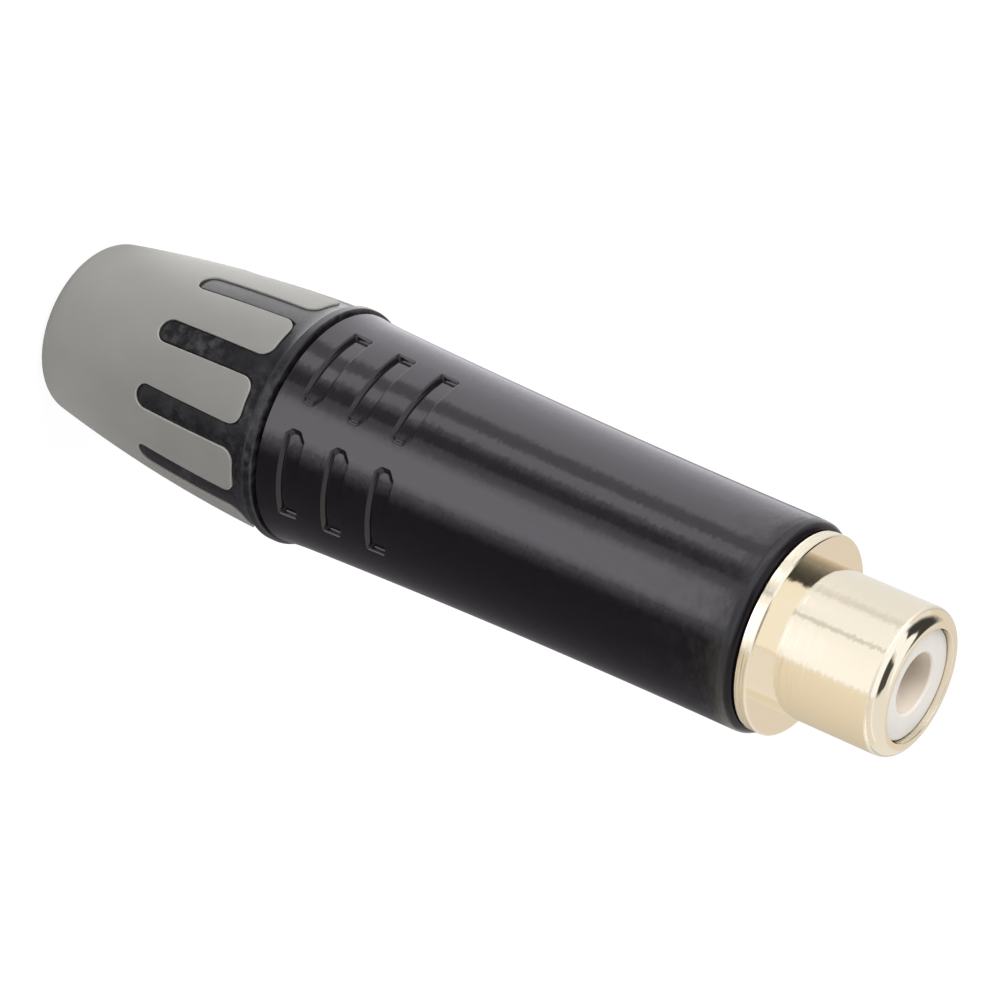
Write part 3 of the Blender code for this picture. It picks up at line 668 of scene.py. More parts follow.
def grip_plate(sizes, grow, outside, edge):
    """One bar's share of the grip, bent round the axis from a flat plate with a window, as a bmesh.

    grow narrows the window and thickens the plate, outside raises its face, edge rounds the window."""
    path = grip_path(sizes)
    run = path_lengths(path)
    border, outline = plate_outline(sizes, path, run, grow)
    level = 1e-8

    mesh = slab([(x, y, 0) for x, y in outline], (0, 0, -sizes.pad_thickness))

    def on_border(item):
        return all(abs(abs(v.co.x) - border) < level for v in item.verts)

    side_walls = [f for f in mesh.faces if on_border(f) and len(f.verts) == 4]
    bmesh.ops.delete(mesh, geom=side_walls, context="FACES")
    if edge:
        rims = [
            e
            for e in mesh.edges
            if all(abs(v.co.z) < 1e-9 for v in e.verts)
            and not on_border(e)
            and not all(v.co.y < level for v in e.verts)
        ]
        bmesh.ops.bevel(
            mesh,
            geom=rims,
            offset=edge,
            segments=3,
            profile=0.5,
            affect="EDGES",
            material=-1,
            clamp_overlap=False,
        )
    cuts = [((x, 0, 0), (1, 0, 0)) for x in spaced(-border, border, 16)[1:-1]]
    cuts += [((0, y, 0), (0, 1, 0)) for y in run[1:-1]]
    for place, across in cuts:
        geometry = mesh.verts[:] + mesh.edges[:] + mesh.faces[:]
        bmesh.ops.bisect_plane(mesh, geom=geometry, dist=level, plane_co=place, plane_no=across)

    rear_thickness = 0.0010
    rim = mesh.verts.layers.float.new("rim")
    for vert in mesh.verts:
        x, y, deep = vert.co
        radius, height, normal = on_path(path, run, y)
        beyond = max(0.0, y - run[-1])
        vert[rim] = 1.0 if edge and -1.05 * edge < deep < -0.02 * edge else 0.0
        share = -deep / sizes.pad_thickness
        rear = smooth_step(0.0, math.pi / 2, -normal)
        thick = sizes.pad_thickness + grow + rear * (rear_thickness - sizes.pad_thickness)
        inward = share * thick - (1 - share) * outside
        if edge and share < 0.5:
            inward = -deep
        radius -= inward * math.cos(normal)
        height -= inward * math.sin(normal)
        angle = x / sizes.front_radius
        vert.co = (radius * math.cos(angle), radius * math.sin(angle), height + beyond)
    return mesh


def grip_mesh(sizes, name, grow=0.0, outside=0.0, edge=0.0):
    """The grip: its plates set round the axis and joined."""
    data = mesh_data("grip_plate", grip_plate(sizes, grow, outside, edge))
    gathered = bmesh.new()
    gathered.verts.layers.float.new("rim")
    for k in range(sizes.pads):
        before = set(gathered.verts)
        gathered.from_mesh(data)
        new = [v for v in gathered.verts if v not in before]
        turn = Matrix.Rotation(FIRST_BAR + k * TURN / sizes.pads, 3, "Z")
        bmesh.ops.rotate(gathered, verts=new, cent=(0, 0, 0), matrix=turn)
    bpy.data.meshes.remove(data)
    bmesh.ops.remove_doubles(gathered, verts=gathered.verts, dist=5e-8)
    return mesh_object(name, gathered, 50)


class PHONO_OT_grip(Piece, bpy.types.Operator):
    """Builds the soft grey grip with its pads"""

    bl_idname = "phono.grip"
    bl_label = "Grip"
    part = ("nut", "nut_grip", "grey_grip")

    def build(self, scene):
        made = grip_mesh(scene.phono_nut, "grip", edge=scene.phono_nut.edge_round)
        return made, elastomer(scene.phono_finish.grip)


class PHONO_OT_nut(Piece, bpy.types.Operator):
    """Builds the hard half of the grip nut: bars, flared lip, thread and cone"""

    bl_idname = "phono.nut"
    bl_label = "Nut"
    part = ("nut", "nut_core", "black_nut")

    def build(self, scene):
        sizes = scene.phono_nut
        rear, bars_rear = 0.0006, 0.0016
        lip_rear = NUT_FRONT - sizes.lip_width
        band = nut_radius(sizes, PAD_FRONT) - sizes.bar_recess
        flare = [
            (
                band + (sizes.lip_radius - band) * (1 - math.cos(a)),
                PAD_FRONT + (lip_rear - PAD_FRONT) * math.sin(a),
            )
            for a in spaced(0, math.pi / 2, 10)
        ]
        rim = (sizes.lip_radius - sizes.lip_round, NUT_FRONT - sizes.lip_round)
        profile = [
            (sizes.cable_hole, rear),
            (nut_radius(sizes, rear) - sizes.pad_thickness, rear),
            *[(nut_radius(sizes, h) - sizes.bar_recess, h) for h in spaced(bars_rear, PAD_FRONT, 26)[:-1]],
            *flare,
            *arc(rim, sizes.lip_round, 0, 90, 8),
            (sizes.thread_radius + 0.0001, NUT_FRONT),
            *[(sizes.thread_radius, h) for h in spaced(NUT_FRONT - 0.00012, THREAD_REAR, 72)],
            (CONE_FRONT_RADIUS, THREAD_REAR),
            (CONE_REAR_RADIUS, CONE_REAR),
            (sizes.cable_hole, CONE_REAR),
        ]
        pitch = scene.phono_shell.spigot_pitch
        thread = thread_relief(pitch, THREAD_DEPTH, THREAD_REAR, NUT_FRONT, SPIGOT_REAR, male=False)
        columns = spaced(0, TURN, 180)[:-1]
        made = wrapped("nut", profile, columns, only_at(sizes.thread_radius, thread))
        baked(made, grip_mesh(sizes, "pocket", grow=0.00003, outside=0.0008))
        return made, nylon(scene.phono_finish.nut)


def shell_radius(sizes, height):
    share = (SHELL_FRONT - height) / (SHELL_FRONT - SHELL_REAR)
    body = sizes.front_radius + (sizes.rear_radius - sizes.front_radius) * share**2
    rim = max(0.0, 1 - (height - SHELL_REAR) / 0.0018)
    return body + sizes.rim_flare * rim**2


# Three grooves in each group, and two groups on each of the mould's two slides
GROOVE_HEIGHTS = [SHELL_REAR + 0.00192 + 0.00295 * k for k in range(3)]
GROOVES_REAR, GROOVES_FRONT = SHELL_REAR + 0.001, SHELL_REAR + 0.0090
SLIDE_ANGLES = [math.radians(-89.4 + 180 * k) for k in range(2)]
GROOVE_NEAR, GROOVE_FAR = math.radians(6.25), math.radians(53.75)
TIP_FLAT = 0.00042  # how far the tip's flat end stays from the groove's sides
TIP_NEAR, TIP_SIDE = 0.643, 0.766  # how the tip's facets lean, 40 degrees
END_CORNER, CORNER_LEAN = 0.00012, 0.707
POCKET_NEAR, POCKET_UP, POCKET_RADIUS, POCKET_DEPTH = 0.00022, 0.0003, 0.00016, 0.00012
OUTSIDE = 0.0055  # only the shell's outside lies farther from the axis


def drafted(share, blend=0.3):
    """Depth across a moulded wall, 0 to 1, with a fillet over a share of it at its edge and at its foot."""
    share = min(1.0, max(0.0, share))
    if share < blend:
        return share**2 / (2 * blend * (1 - blend))
    if share > 1 - blend:
        return 1 - (1 - share) ** 2 / (2 * blend * (1 - blend))
    return (share - blend / 2) / (1 - blend)


def hollowed(share):
    """Depth across a groove's wall on the nut's side, 0 to 1: a slow start, then steep down to its foot."""
    share = min(1.0, max(0.0, share))
    return 0.35 * share**2 + 0.65 * share**6


def groove_relief(sizes, angle, height, radius):
    """Depth of the grooves at a place on the shell's side."""
    across = min((height - middle for middle in GROOVE_HEIGHTS), key=abs)
    half = sizes.groove_width / 2
    if abs(across) > half:
        return 0.0
    best = 0.0
    for centre in SLIDE_ANGLES:
        away = abs((angle - centre + math.pi) % TURN - math.pi)
        if not GROOVE_NEAR < away < GROOVE_FAR:
            continue
        # Ways in from the outline: both sides, a tip with three facets, and a square end with small corners
        near, far = (away - GROOVE_NEAR) * radius, (GROOVE_FAR - away) * radius
        side = half - abs(across)
        tip = min(near, TIP_NEAR * near + TIP_SIDE * (side - TIP_FLAT))
        end = min(far, CORNER_LEAN * (far + side - END_CORNER))
        cut = min(
            hollowed((half + across) / sizes.groove_wall),
            drafted((half - across) / sizes.groove_steep, 0.49),
            drafted(tip / (1.5 * sizes.groove_steep), 0.49),
            drafted(end / (0.8 * sizes.groove_steep), 0.4),
        )
        share = (away - GROOVE_NEAR) / (GROOVE_FAR - GROOVE_NEAR)
        deep = sizes.groove_near_depth + (sizes.groove_far_depth - sizes.groove_near_depth) * share
        # The small pocket in each square end's corner
        pocket = math.hypot(far - POCKET_NEAR, half + across - POCKET_UP) / POCKET_RADIUS
        best = max(best, deep * cut + POCKET_DEPTH * drafted(1 - pocket))
    return best


def groove_rows(sizes):
    """Heights for the shell's side, close together across each groove's walls."""
    half = sizes.groove_width / 2
    beside, clear = 0.00002, 0.0001
    heights = []
    for middle in GROOVE_HEIGHTS:
        low, high = middle - half, middle + half
        foot, steep = low + 1.15 * sizes.groove_wall, high - 1.1 * sizes.groove_steep
        heights += [low - clear] + spaced(low - beside, foot, 20)
        heights += spaced(foot, steep, 10)[1:-1]
        heights += spaced(steep, high + beside, 9) + [high + clear]
    return heights


def groove_columns():
    """Angles for the shell's side, close together at each groove's two ends, and mirrored in each slide."""
    stretches = ((0, 6.1, 3), (6.1, 13.5, 24), (13.5, 50.5, 14), (50.5, 53.9, 16), (53.9, 90, 9))
    marks = [mark for low, high, count in stretches for mark in spaced(low, high, count)[:-1]]
    columns = []
    for centre in SLIDE_ANGLES:
        columns += [centre + math.radians(mark) for mark in marks]
        columns += [centre + math.radians(180 - mark) for mark in [90] + marks[:0:-1]]
    return columns


class PHONO_OT_shell(Piece, bpy.types.Operator):
    """Builds the lacquered shell with its moulded grooves, threads and keyways"""

    bl_idname = "phono.shell"
    bl_label = "Shell"
    part = ("housing", "shell", "black_shell")

    def build(self, scene):
        sizes = scene.phono_shell
        front_length, front_drop = 0.00045, 0.0003
        side_top = SHELL_FRONT - front_length
        uneven_from = side_top - 0.0003
        female_rear = SHELL_FRONT - 0.0066
        grooves = groove_rows(sizes)
        heights = (
            [SHELL_REAR + 0.00006]
            + spaced(SHELL_REAR + 0.0002, grooves[0] - 0.0001, 5)
            + grooves
            + spaced(grooves[-1] + 0.0003, uneven_from, 20)
            + spaced(uneven_from, side_top, 6)[1:]
        )
        top_radius = shell_radius(sizes, side_top)
        front = [
            (top_radius - front_drop * (1 - math.cos(a)), side_top + front_length * math.sin(a))
            for a in spaced(0, math.pi / 2, 10)[1:]
        ]
        profile = [
            (sizes.guide_radius, SPIGOT_REAR),
            (sizes.spigot_radius - THREAD_DEPTH - 0.00012, SPIGOT_REAR),
            *[(sizes.spigot_radius, h) for h in spaced(SPIGOT_REAR + 0.00015, SHELL_REAR, 54)],
            (sizes.rear_radius + sizes.rim_flare - 0.00007, SHELL_REAR),
            *[(shell_radius(sizes, h), h) for h in heights],
            *front,
            (sizes.chamber_radius + 0.0001, SHELL_FRONT),
            *[(sizes.chamber_radius, h) for h in spaced(SHELL_FRONT - 0.0001, female_rear, 70)],
            (sizes.chamber_radius, GUIDE_FRONT),
            (sizes.guide_radius, GUIDE_FRONT),
        ]
        male = thread_relief(
            sizes.spigot_pitch, THREAD_DEPTH, SPIGOT_REAR, SHELL_REAR - 0.0001, SPIGOT_REAR, male=True
        )
        pitch = scene.phono_socket.thread_pitch
        female = thread_relief(
            pitch, FINE_THREAD_DEPTH, female_rear + 0.0001, SHELL_FRONT, FLANGE_REAR, male=False
        )

        def relief(angle, radius, height):
            if abs(radius - sizes.spigot_radius) < SAME:
                return male(angle, height)
            if abs(radius - sizes.chamber_radius) < SAME and height > female_rear - 0.0001:
                return female(angle, height)
            if radius > OUTSIDE and height > uneven_from:
                spot = Vector((4 * math.cos(angle), 4 * math.sin(angle), (height - uneven_from) * 2500))
                rise = smooth_step(uneven_from, SHELL_FRONT, height)
                return sizes.edge_wobble * rise * (1 + noise.noise(spot))
            if radius > OUTSIDE and GROOVES_REAR < height < GROOVES_FRONT:
                return groove_relief(sizes, angle, height, radius)
            return 0.0

        made = wrapped("shell_body", profile, groove_columns(), relief)
        reach, half = sizes.guide_radius + 0.0005, 0.00075
        low, high = (-reach, -half, SPIGOT_REAR - 0.001), (reach, half, GUIDE_FRONT + 0.001)
        baked(made, box_object("keyway", low, high))
        return made, lacquer(scene.phono_finish.shell)


class PHONO_OT_socket_body(Piece, bpy.types.Operator):
    """Builds the plated socket body: barrel, flange, thread and rolled rim"""

    bl_idname = "phono.socket_body"
    bl_label = "Socket body"
    part = ("socket", "socket_body", "gilt_brass")

    def build(self, scene):
        sizes = scene.phono_socket
        flange_front = FLANGE_REAR + sizes.flange_thickness
        neck_front = SOCKET_REAR + 0.0014
        seat_front = INSULATOR_REAR + 0.0013
        root = sizes.thread_radius - FINE_THREAD_DEPTH
        rolled, washer_seat, tag_seat = 0.00355, 0.0036, 0.00385
        tag_rear = SOCKET_REAR + 0.0004
        neck_round, rear_round, front_round, bore_round = 0.00012, 0.00006, 0.0001, 0.00004
        lip = (sizes.barrel_radius - sizes.lip_round, MOUTH - sizes.lip_round)
        profile = [
            (rolled, SOCKET_REAR),
            *arc((sizes.neck_radius - neck_round, SOCKET_REAR + neck_round), neck_round, -90, 0, 4),
            (sizes.neck_radius, neck_front),
            (root - 0.00005, neck_front),
            *[(sizes.thread_radius, h) for h in spaced(neck_front + 0.0001, FLANGE_REAR - 0.0004, 90)],
            (root, FLANGE_REAR),
            *arc((sizes.flange_radius - rear_round, FLANGE_REAR + rear_round), rear_round, -90, 0, 3),
            *arc((sizes.flange_radius - front_round, flange_front - front_round), front_round, 0, 90, 5),
            (sizes.barrel_radius, flange_front),
            *[(sizes.barrel_radius, h) for h in spaced(flange_front + 0.001, MOUTH - 0.0015, 6)],
            *arc(lip, sizes.lip_round, 0, 90, 16),
            *arc((sizes.bore_radius + bore_round, MOUTH - bore_round), bore_round, 90, 180, 3),
            (sizes.bore_radius, seat_front),
            (washer_seat, seat_front),
            (washer_seat, WASHER_REAR),
            (tag_seat, WASHER_REAR),
            (tag_seat, tag_rear),
            (rolled, tag_rear),
        ]
        thread = thread_relief(
            sizes.thread_pitch, FINE_THREAD_DEPTH, neck_front, FLANGE_REAR - 0.0002, FLANGE_REAR, male=True
        )
        columns = spaced(0, TURN, 192)[:-1]
        made = wrapped("socket_body_fine", profile, columns, only_at(sizes.thread_radius, thread))
        return made, plating("Turned brass, gold plated", scene.phono_finish.gilt, 0.08)


class PHONO_OT_front_insulator(Piece, bpy.types.Operator):
    """Builds the white bush in the mouth, with the hole for the plug's pin"""

    bl_idname = "phono.front_insulator"
    bl_label = "Front insulator"
    part = ("socket", "front_insulator", "white_insulator")

    def build(self, scene):
        sizes = scene.phono_socket
        contact_hole = sizes.contact_radius + 0.0001
        outer = sizes.bore_radius - 0.00003
        collar, collar_front = 0.0035, INSULATOR_REAR + 0.0012
        edge, hole_edge, hole_rear = 0.00008, 0.00015, INSULATOR_FRONT - 0.0019
        profile = [
            (contact_hole, INSULATOR_REAR),
            (collar, INSULATOR_REAR),
            (collar, collar_front),
            (outer, collar_front),
            *arc((outer - edge, INSULATOR_FRONT - edge), edge, 0, 90, 4),
            *arc((sizes.pin_hole + hole_edge, INSULATOR_FRONT - hole_edge), hole_edge, 90, 180, 6),
            (sizes.pin_hole, hole_rear),
            (contact_hole, hole_rear),
        ]
        made = turned("mouth_insulator", profile, 128)
        # The pin hole's wall gets a warmer, darker colour: painted shade and warm bounced light inside the
        # hole
        hole = (sizes.pin_hole, linear("E4D8CA"))
        return made, plastic("Moulded acetal, white", scene.phono_finish.insulator, 0.38, hole)


class PHONO_OT_centre_contact(Piece, bpy.types.Operator):
    """Builds the spring contact with its tines, collar and solder cup"""

    bl_idname = "phono.centre_contact"
    bl_label = "Centre contact"
    part = ("socket", "centre_contact", "gilt_contact")

    def build(self, scene):
        sizes = scene.phono_socket
        cup, cup_wall, cup_floor = 0.00125, 0.0004, CONTACT_REAR + 0.0030
        collar, collar_rear = sizes.contact_radius + 0.00065, WASHER_FRONT + 0.0001
        collar_front = collar_rear + 0.0009
        bore_rear = CONTACT_FRONT - 0.0075
        cup_round, tip_round, lead_in = 0.00008, 0.00012, 0.00014
        profile = [
            (0, cup_floor),
            (cup - cup_wall, cup_floor),
            (cup - cup_wall, CONTACT_REAR),
            *arc((cup - cup_round, CONTACT_REAR + cup_round), cup_round, -90, 0, 3),
            (cup, collar_rear),
            (collar, collar_rear),
            (collar, collar_front),
            (sizes.contact_radius, collar_front),
            *arc((sizes.contact_radius - tip_round, CONTACT_FRONT - tip_round), tip_round, 0, 90, 4),
            *arc((sizes.contact_bore + lead_in, CONTACT_FRONT - lead_in), lead_in, 90, 180, 4),
            (sizes.contact_bore, bore_rear),
            (0, bore_rear),
        ]
        made = turned("contact", profile, 72)
        reach, half_slit = 0.004, 0.0002
        low = (-reach, -half_slit, CONTACT_FRONT - 0.0065)
        high = (reach, half_slit, CONTACT_FRONT + 0.0004)
        cutters = [box_object("contact_slit", low, high, turn) for turn in (0, math.pi / 2)]
        low, high = (-reach, -reach, CONTACT_REAR - 0.001), (reach, 0, CONTACT_REAR + 0.0015)
        baked(made, *cutters, box_object("cup_opening", low, high))
        return made, plating("Turned bronze, gold plated", scene.phono_finish.gilt, 0.22)


class PHONO_OT_rear_insulator(Piece, bpy.types.Operator):
    """Builds the insulating washer behind the contact"""

    bl_idname = "phono.rear_insulator"
    bl_label = "Rear insulator"
    part = ("socket", "rear_insulator", "laminate_washer")

    def build(self, scene):
        hole, outer = 0.00135, 0.0035
        profile = rounded(section(hole, outer, WASHER_REAR, WASHER_FRONT), 0.00006)
        made = turned("washer", profile, 96)
        return made, plastic("Stamped paper laminate, brown", scene.phono_finish.laminate, 0.6)


class PHONO_OT_earth_tag(Piece, bpy.types.Operator):
    """Builds the sheet ring with its solder tongue"""

    bl_idname = "phono.earth_tag"
    bl_label = "Earth tag"
    part = ("socket", "earth_tag", "tinned_tag")
    tongue_end = TAG_FRONT - 0.0110

    def build(self, scene):
        thick, bend, width = 0.0004, 0.0003, 0.0028
        hole, outer = 0.0029, 0.00375
        rear = TAG_FRONT - thick
        made = turned("earth_ring", section(hole, outer, rear, TAG_FRONT), 96)
        baked(made, self.tongue(hole, rear, thick, bend, width), operation="UNION")
        mesh = bmesh.new()
        place = Matrix.Translation((0, hole - bend, self.tongue_end + width / 2))
        bmesh.ops.create_cone(
            mesh,
            cap_ends=True,
            segments=32,
            radius1=0.0006,
            radius2=0.0006,
            depth=4 * thick,
            matrix=place @ Matrix.Rotation(math.pi / 2, 4, "X"),
        )
        baked(made, mesh_object("tongue_hole", mesh))
        softened(made, 0.00005)
        return made, plating("Stamped brass, tinned", scene.phono_finish.tin, 0.34)

    def tongue(self, hole, rear, thick, bend, width):
        """The solder tongue, bent back from the ring's hole, and a little thinner than the ring."""
        centre = (hole, rear - bend)
        flush, joined, level = 0.000025, hole + 0.0004, 1e-8
        side = [
            (hole - bend - thick, self.tongue_end),
            (hole - bend, self.tongue_end),
            *arc(centre, bend + flush, 180, 90, 6),
            (joined, rear + flush),
            (joined, TAG_FRONT - flush),
            *arc(centre, bend + thick - flush, 90, 180, 8),
        ]
        mesh = slab([(-width / 2, y, z) for y, z in side], (width, 0, 0))
        corners = []
        for edge in mesh.edges:
            first, last = (v.co for v in edge.verts)
            at_end = abs(first.z - self.tongue_end) < level and abs(last.z - self.tongue_end) < level
            if at_end and abs(first.x - last.x) < level:
                corners.append(edge)
        bmesh.ops.bevel(
            mesh, geom=corners, offset=0.0010, segments=8, profile=0.5, affect="EDGES", material=-1
        )
        return mesh_object("tongue", mesh)


class PHONO_OT_sleeve(Piece, bpy.types.Operator):
    """Builds the clear sleeve round the solder joints"""

    bl_idname = "phono.sleeve"
    bl_label = "Sleeve"
    part = ("sleeve", "insulating_sleeve", "clear_sleeve")

    def build(self, scene):
        # Thin enough to pass the crests of the thread in the shell's front
        inner, outer = 0.00425, 0.0045
        profile = rounded(section(inner, outer, SLEEVE_REAR, SLEEVE_FRONT), 0.00008)
        return turned("sleeve_tube", profile, 128), polypropylene()


class PHONO_OT_chuck(Piece, bpy.types.Operator):
    """Builds the cable chuck: toothed jaws, shoulder, guide and keys"""

    bl_idname = "phono.chuck"
    bl_label = "Cable chuck"
    part = ("chuck", "cable_chuck", "chuck_plastic")

    def build(self, scene):
        bore, tip, guide, shoulder = 0.00325, 0.00372, 0.0041, 0.0049
        slope = (CONE_FRONT_RADIUS - CONE_REAR_RADIUS) / (THREAD_REAR - CONE_REAR)
        shoulder_rear = CHUCK_REAR + (shoulder - tip) / slope
        shoulder_front = SPIGOT_REAR - 0.0001
        chamfer = 0.0001
        tooth_pitch, tooth_height, tooth_length = 0.0012, 0.0002, 0.0006
        teeth = []
        for k in range(3):
            foot = CHUCK_REAR + 0.0009 + k * tooth_pitch
            teeth += [(bore, foot), (bore - tooth_height, foot + tooth_height), (bore, foot + tooth_length)]
        profile = [
            (bore, CHUCK_REAR),
            (tip, CHUCK_REAR),
            (shoulder, shoulder_rear),
            (shoulder, shoulder_front),
            (guide, shoulder_front),
            (guide, CHUCK_FRONT - chamfer),
            (guide - chamfer, CHUCK_FRONT),
            (bore, CHUCK_FRONT),
            *teeth[::-1],
        ]
        made = turned("chuck_collet", profile, 96)
        key_inner, key_outer, half_key, half_slit = 0.0037, 0.0046, 0.00065, 0.0004
        low = (key_inner, -half_key, (shoulder_rear + shoulder_front) / 2)
        high = (key_outer, half_key, CHUCK_FRONT - 0.0002)
        keys = [box_object("chuck_key", low, high, turn) for turn in (0, math.pi)]
        baked(made, *keys, operation="UNION")
        reach = 2 * shoulder
        low = (-reach, -half_slit, CHUCK_REAR - 0.0008)
        high = (reach, half_slit, shoulder_front - 0.0015)
        turns = [math.pi / 2 + k * TURN / 6 for k in range(3)]
        baked(made, *[box_object("jaw_slit", low, high, turn) for turn in turns])
        softened(made, 0.00005)
        return made, plastic("Moulded acetal, natural", scene.phono_finish.chuck, 0.5)


# Matt paper: white to the camera, and still showing the object's shadow
def paper():
    made, tree, shader = blank_material("Background paper, white")
    inputs = {"Base Color": (0.82, 0.82, 0.82, 1), "Roughness": 0.9, "Specular IOR Level": 0.0}
    set_inputs(tree, shader, inputs)
    glow = add_node(tree, "ShaderNodeEmission", {"Color": (1, 1, 1, 1), "Strength": 1.08})
    seen = add_node(tree, "ShaderNodeLightPath").outputs["Is Camera Ray"]
    inputs = {0: times(tree, seen, 0.85), 1: shader.outputs[0], 2: glow.outputs[0]}
    shown = add_node(tree, "ShaderNodeMixShader", inputs)
    tree.links.new(shown.outputs[0], tree.nodes["Material Output"].inputs[0])
    return made


# Studio card: its brightness and its soft border are in its mesh, and only reflections see it
def card_material():
    made, tree, shader = blank_material("Studio card")
    tree.nodes.remove(shader)
    glow = add_node(tree, "ShaderNodeAttribute", attribute_name="glow").outputs["Color"]
    cover = add_node(tree, "ShaderNodeAttribute", attribute_name="cover").outputs["Fac"]
    light = add_node(tree, "ShaderNodeEmission", {"Color": glow, "Strength": 1.0})
    clear = add_node(tree, "ShaderNodeBsdfTransparent")
    shown = add_node(tree, "ShaderNodeMixShader", {0: cover, 1: clear.outputs[0], 2: light.outputs[0]})
    tree.links.new(shown.outputs[0], tree.nodes["Material Output"].inputs[0])
    return made


def card(name, place, levels, soft, tint):
    """A card for reflections only. place turns its two shares, 0 to 1, into a point.

    levels are its brightness at both ends, soft the width of its borders along each share."""
    mesh = bmesh.new()
    glow = mesh.verts.layers.float_color.new("glow")
    cover = mesh.verts.layers.float.new("cover")
    bmesh.ops.create_grid(mesh, x_segments=60, y_segments=30, size=1)
    for vert in mesh.verts:
        u, v = (vert.co.x + 1) / 2, (vert.co.y + 1) / 2
        level = levels[0] + (levels[1] - levels[0]) * u
        vert[glow] = (*(level * part for part in tint), 1)
        vert[cover] = smooth_step(0, soft[0], min(u, 1 - u)) * smooth_step(0, soft[1], min(v, 1 - v))
        vert.co = place(u, v)
    made = linked(name, mesh_data(name, mesh))
    made.data.materials.append(bpy.data.materials.get("Studio card") or card_material())
    made.visible_camera = made.visible_diffuse = made.visible_shadow = False
    made.visible_transmission = False


def floor_card(name, angles, radii, height, levels, soft, tint):
    """A card that lies on the floor as a sector round the object, its angles in degrees."""
    middle = -0.0012  # where the camera sees the floor's reflections centred, along Y

    def place(u, v):
        angle = math.radians(angles[0] + (angles[1] - angles[0]) * u)
        radius = radii[0] + (radii[1] - radii[0]) * v
        return (radius * math.cos(angle), radius * math.sin(angle) + middle, height)

    card(name, place, levels, soft, tint)


def wall_card(name, angles, low, high, reach, level, soft, tint):
    """A card that stands round the object, between two angles and two elevations in degrees.

    low has the lower elevation at both ends."""
    middle = 0.05

    def place(u, v):
        angle = math.radians(angles[0] + (angles[1] - angles[0]) * u)
        foot = low[0] + (low[1] - low[0]) * u
        rise = math.radians(foot + (high - foot) * v)
        flat = reach * math.cos(rise)
        return (flat * math.cos(angle), flat * math.sin(angle), middle + reach * math.sin(rise))

    card(name, place, (level, level), soft, tint)


PLAIN, VIOLET, COOL, WARM = (1, 1, 1), (1, 0.965, 1.03), (0.985, 1, 1.02), (1, 0.91, 0.76)
SKY = (0.99, 1.03, 1.08)
SHELL_EDGE = 0.1071  # the shell reflects the floor inside this radius, the flange and the barrel outside it
# Name, angles, radii, height, brightness at both ends, soft borders and tint of each card on the floor
FLOOR_CARDS = (
    # What the nut reflects, close by
    ("near_side", (-244, -158), (0.006, 0.036), 0.0003, (2.4, 3.2), (0.25, 0.15), PLAIN),
    ("near_dark", (-150, -60), (0.008, 0.032), 0.0007, (0.2, 0.15), (0.15, 0.2), PLAIN),
    # What the shell reflects: a broad bright side, a strip, the bright front, and dark below
    ("side_reflector", (-262, -157), (0.010, SHELL_EDGE), 0.0002, (1.1, 2.3), (0.06, 0.01), VIOLET),
    ("strip_reflector", (-147, -130), (0.030, SHELL_EDGE), 0.0002, (2.3, 2.3), (0.25, 0.01), VIOLET),
    ("front_reflector", (-109, -56), (0.032, SHELL_EDGE), 0.0002, (2.8, 2.95), (0.3, 0.01), VIOLET),
    ("dark_streak", (-130, -110), (0.028, SHELL_EDGE), 0.0004, (0.3, 0.25), (0.35, 0.01), VIOLET),
    ("dark_side", (-61, 120), (0.010, SHELL_EDGE), 0.0006, (0.03, 0.32), (0.09, 0.01), VIOLET),
    # What the flange's rim and the barrel reflect, farther out, with two dark lines
    ("barrel_left", (-268, -158), (SHELL_EDGE, 0.140), 0.0002, (0.86, 0.90), (0.06, 0.02), COOL),
    ("barrel_front", (-160, -46), (SHELL_EDGE, 0.140), 0.0003, (0.98, 1.13), (0.05, 0.02), COOL),
    ("barrel_line_a", (-174, -152), (SHELL_EDGE, 0.136), 0.0005, (0.76, 0.76), (0.45, 0.02), PLAIN),
    ("barrel_line_b", (-120, -110), (SHELL_EDGE, 0.136), 0.0005, (0.7, 0.7), (0.45, 0.02), PLAIN),
    ("barrel_side", (-56, 92), (SHELL_EDGE, 0.140), 0.0004, (0.93, 0.57), (0.1, 0.02), WARM),
    ("rim_side", (-58, 92), (SHELL_EDGE, 0.1106), 0.0005, (0.99, 0.34), (0.1, 0.1), (1, 0.88, 0.70)),
)
# What the rounded edges and the flange's face reflect, above the floor: name, angles, lower elevations at
# both ends, upper elevation, reach, brightness, soft borders and tint of each card
WALL_CARDS = (
    ("warm_rear", (76, 150), (-4, -4), 30, 0.35, 0.79, (0.1, 0.1), (1, 0.92, 0.82)),
    ("cool_front", (-172, -47), (-7, -7), 30, 0.35, 1.08, (0.06, 0.04), (0.99, 1.05, 1.13)),
    ("warm_front", (-53, 36), (-7, -7), 19, 0.35, 0.86, (0.06, 0.1), (1, 0.93, 0.83)),
    ("cool_side", (-50, 36), (19, 19), 29, 0.35, 0.94, (0.06, 0.2), (1, 1.04, 1.16)),
    ("dark_front", (-120, -40), (29.5, 29.5), 76, 0.34, 0.07, (0.15, 0.09), PLAIN),
    ("dark_rear", (98, 209), (24, 2), 74, 0.34, 0.05, (0.1, 0.27), PLAIN),
    ("top_light", (60, 240), (60, 44), 88, 0.33, 1.07, (0.1, 0.1), SKY),
    ("strip_light", (-160, -122), (20, 24), 89, 0.32, 1.07, (0.15, 0.04), SKY),
)


def area_light(name, place, size, power):
    """A soft light for matt surfaces; the cards give the glossy ones what they reflect."""
    target = Vector((0, 0, 0.028))
    data = bpy.data.lights.new(name, "AREA")
    data.shape = "RECTANGLE"
    data.size = data.size_y = size
    data.energy = power
    made = linked(name, data)
    made.location = place
    made.rotation_euler = (target - Vector(place)).to_track_quat("-Z", "Y").to_euler()
    made.visible_glossy = False


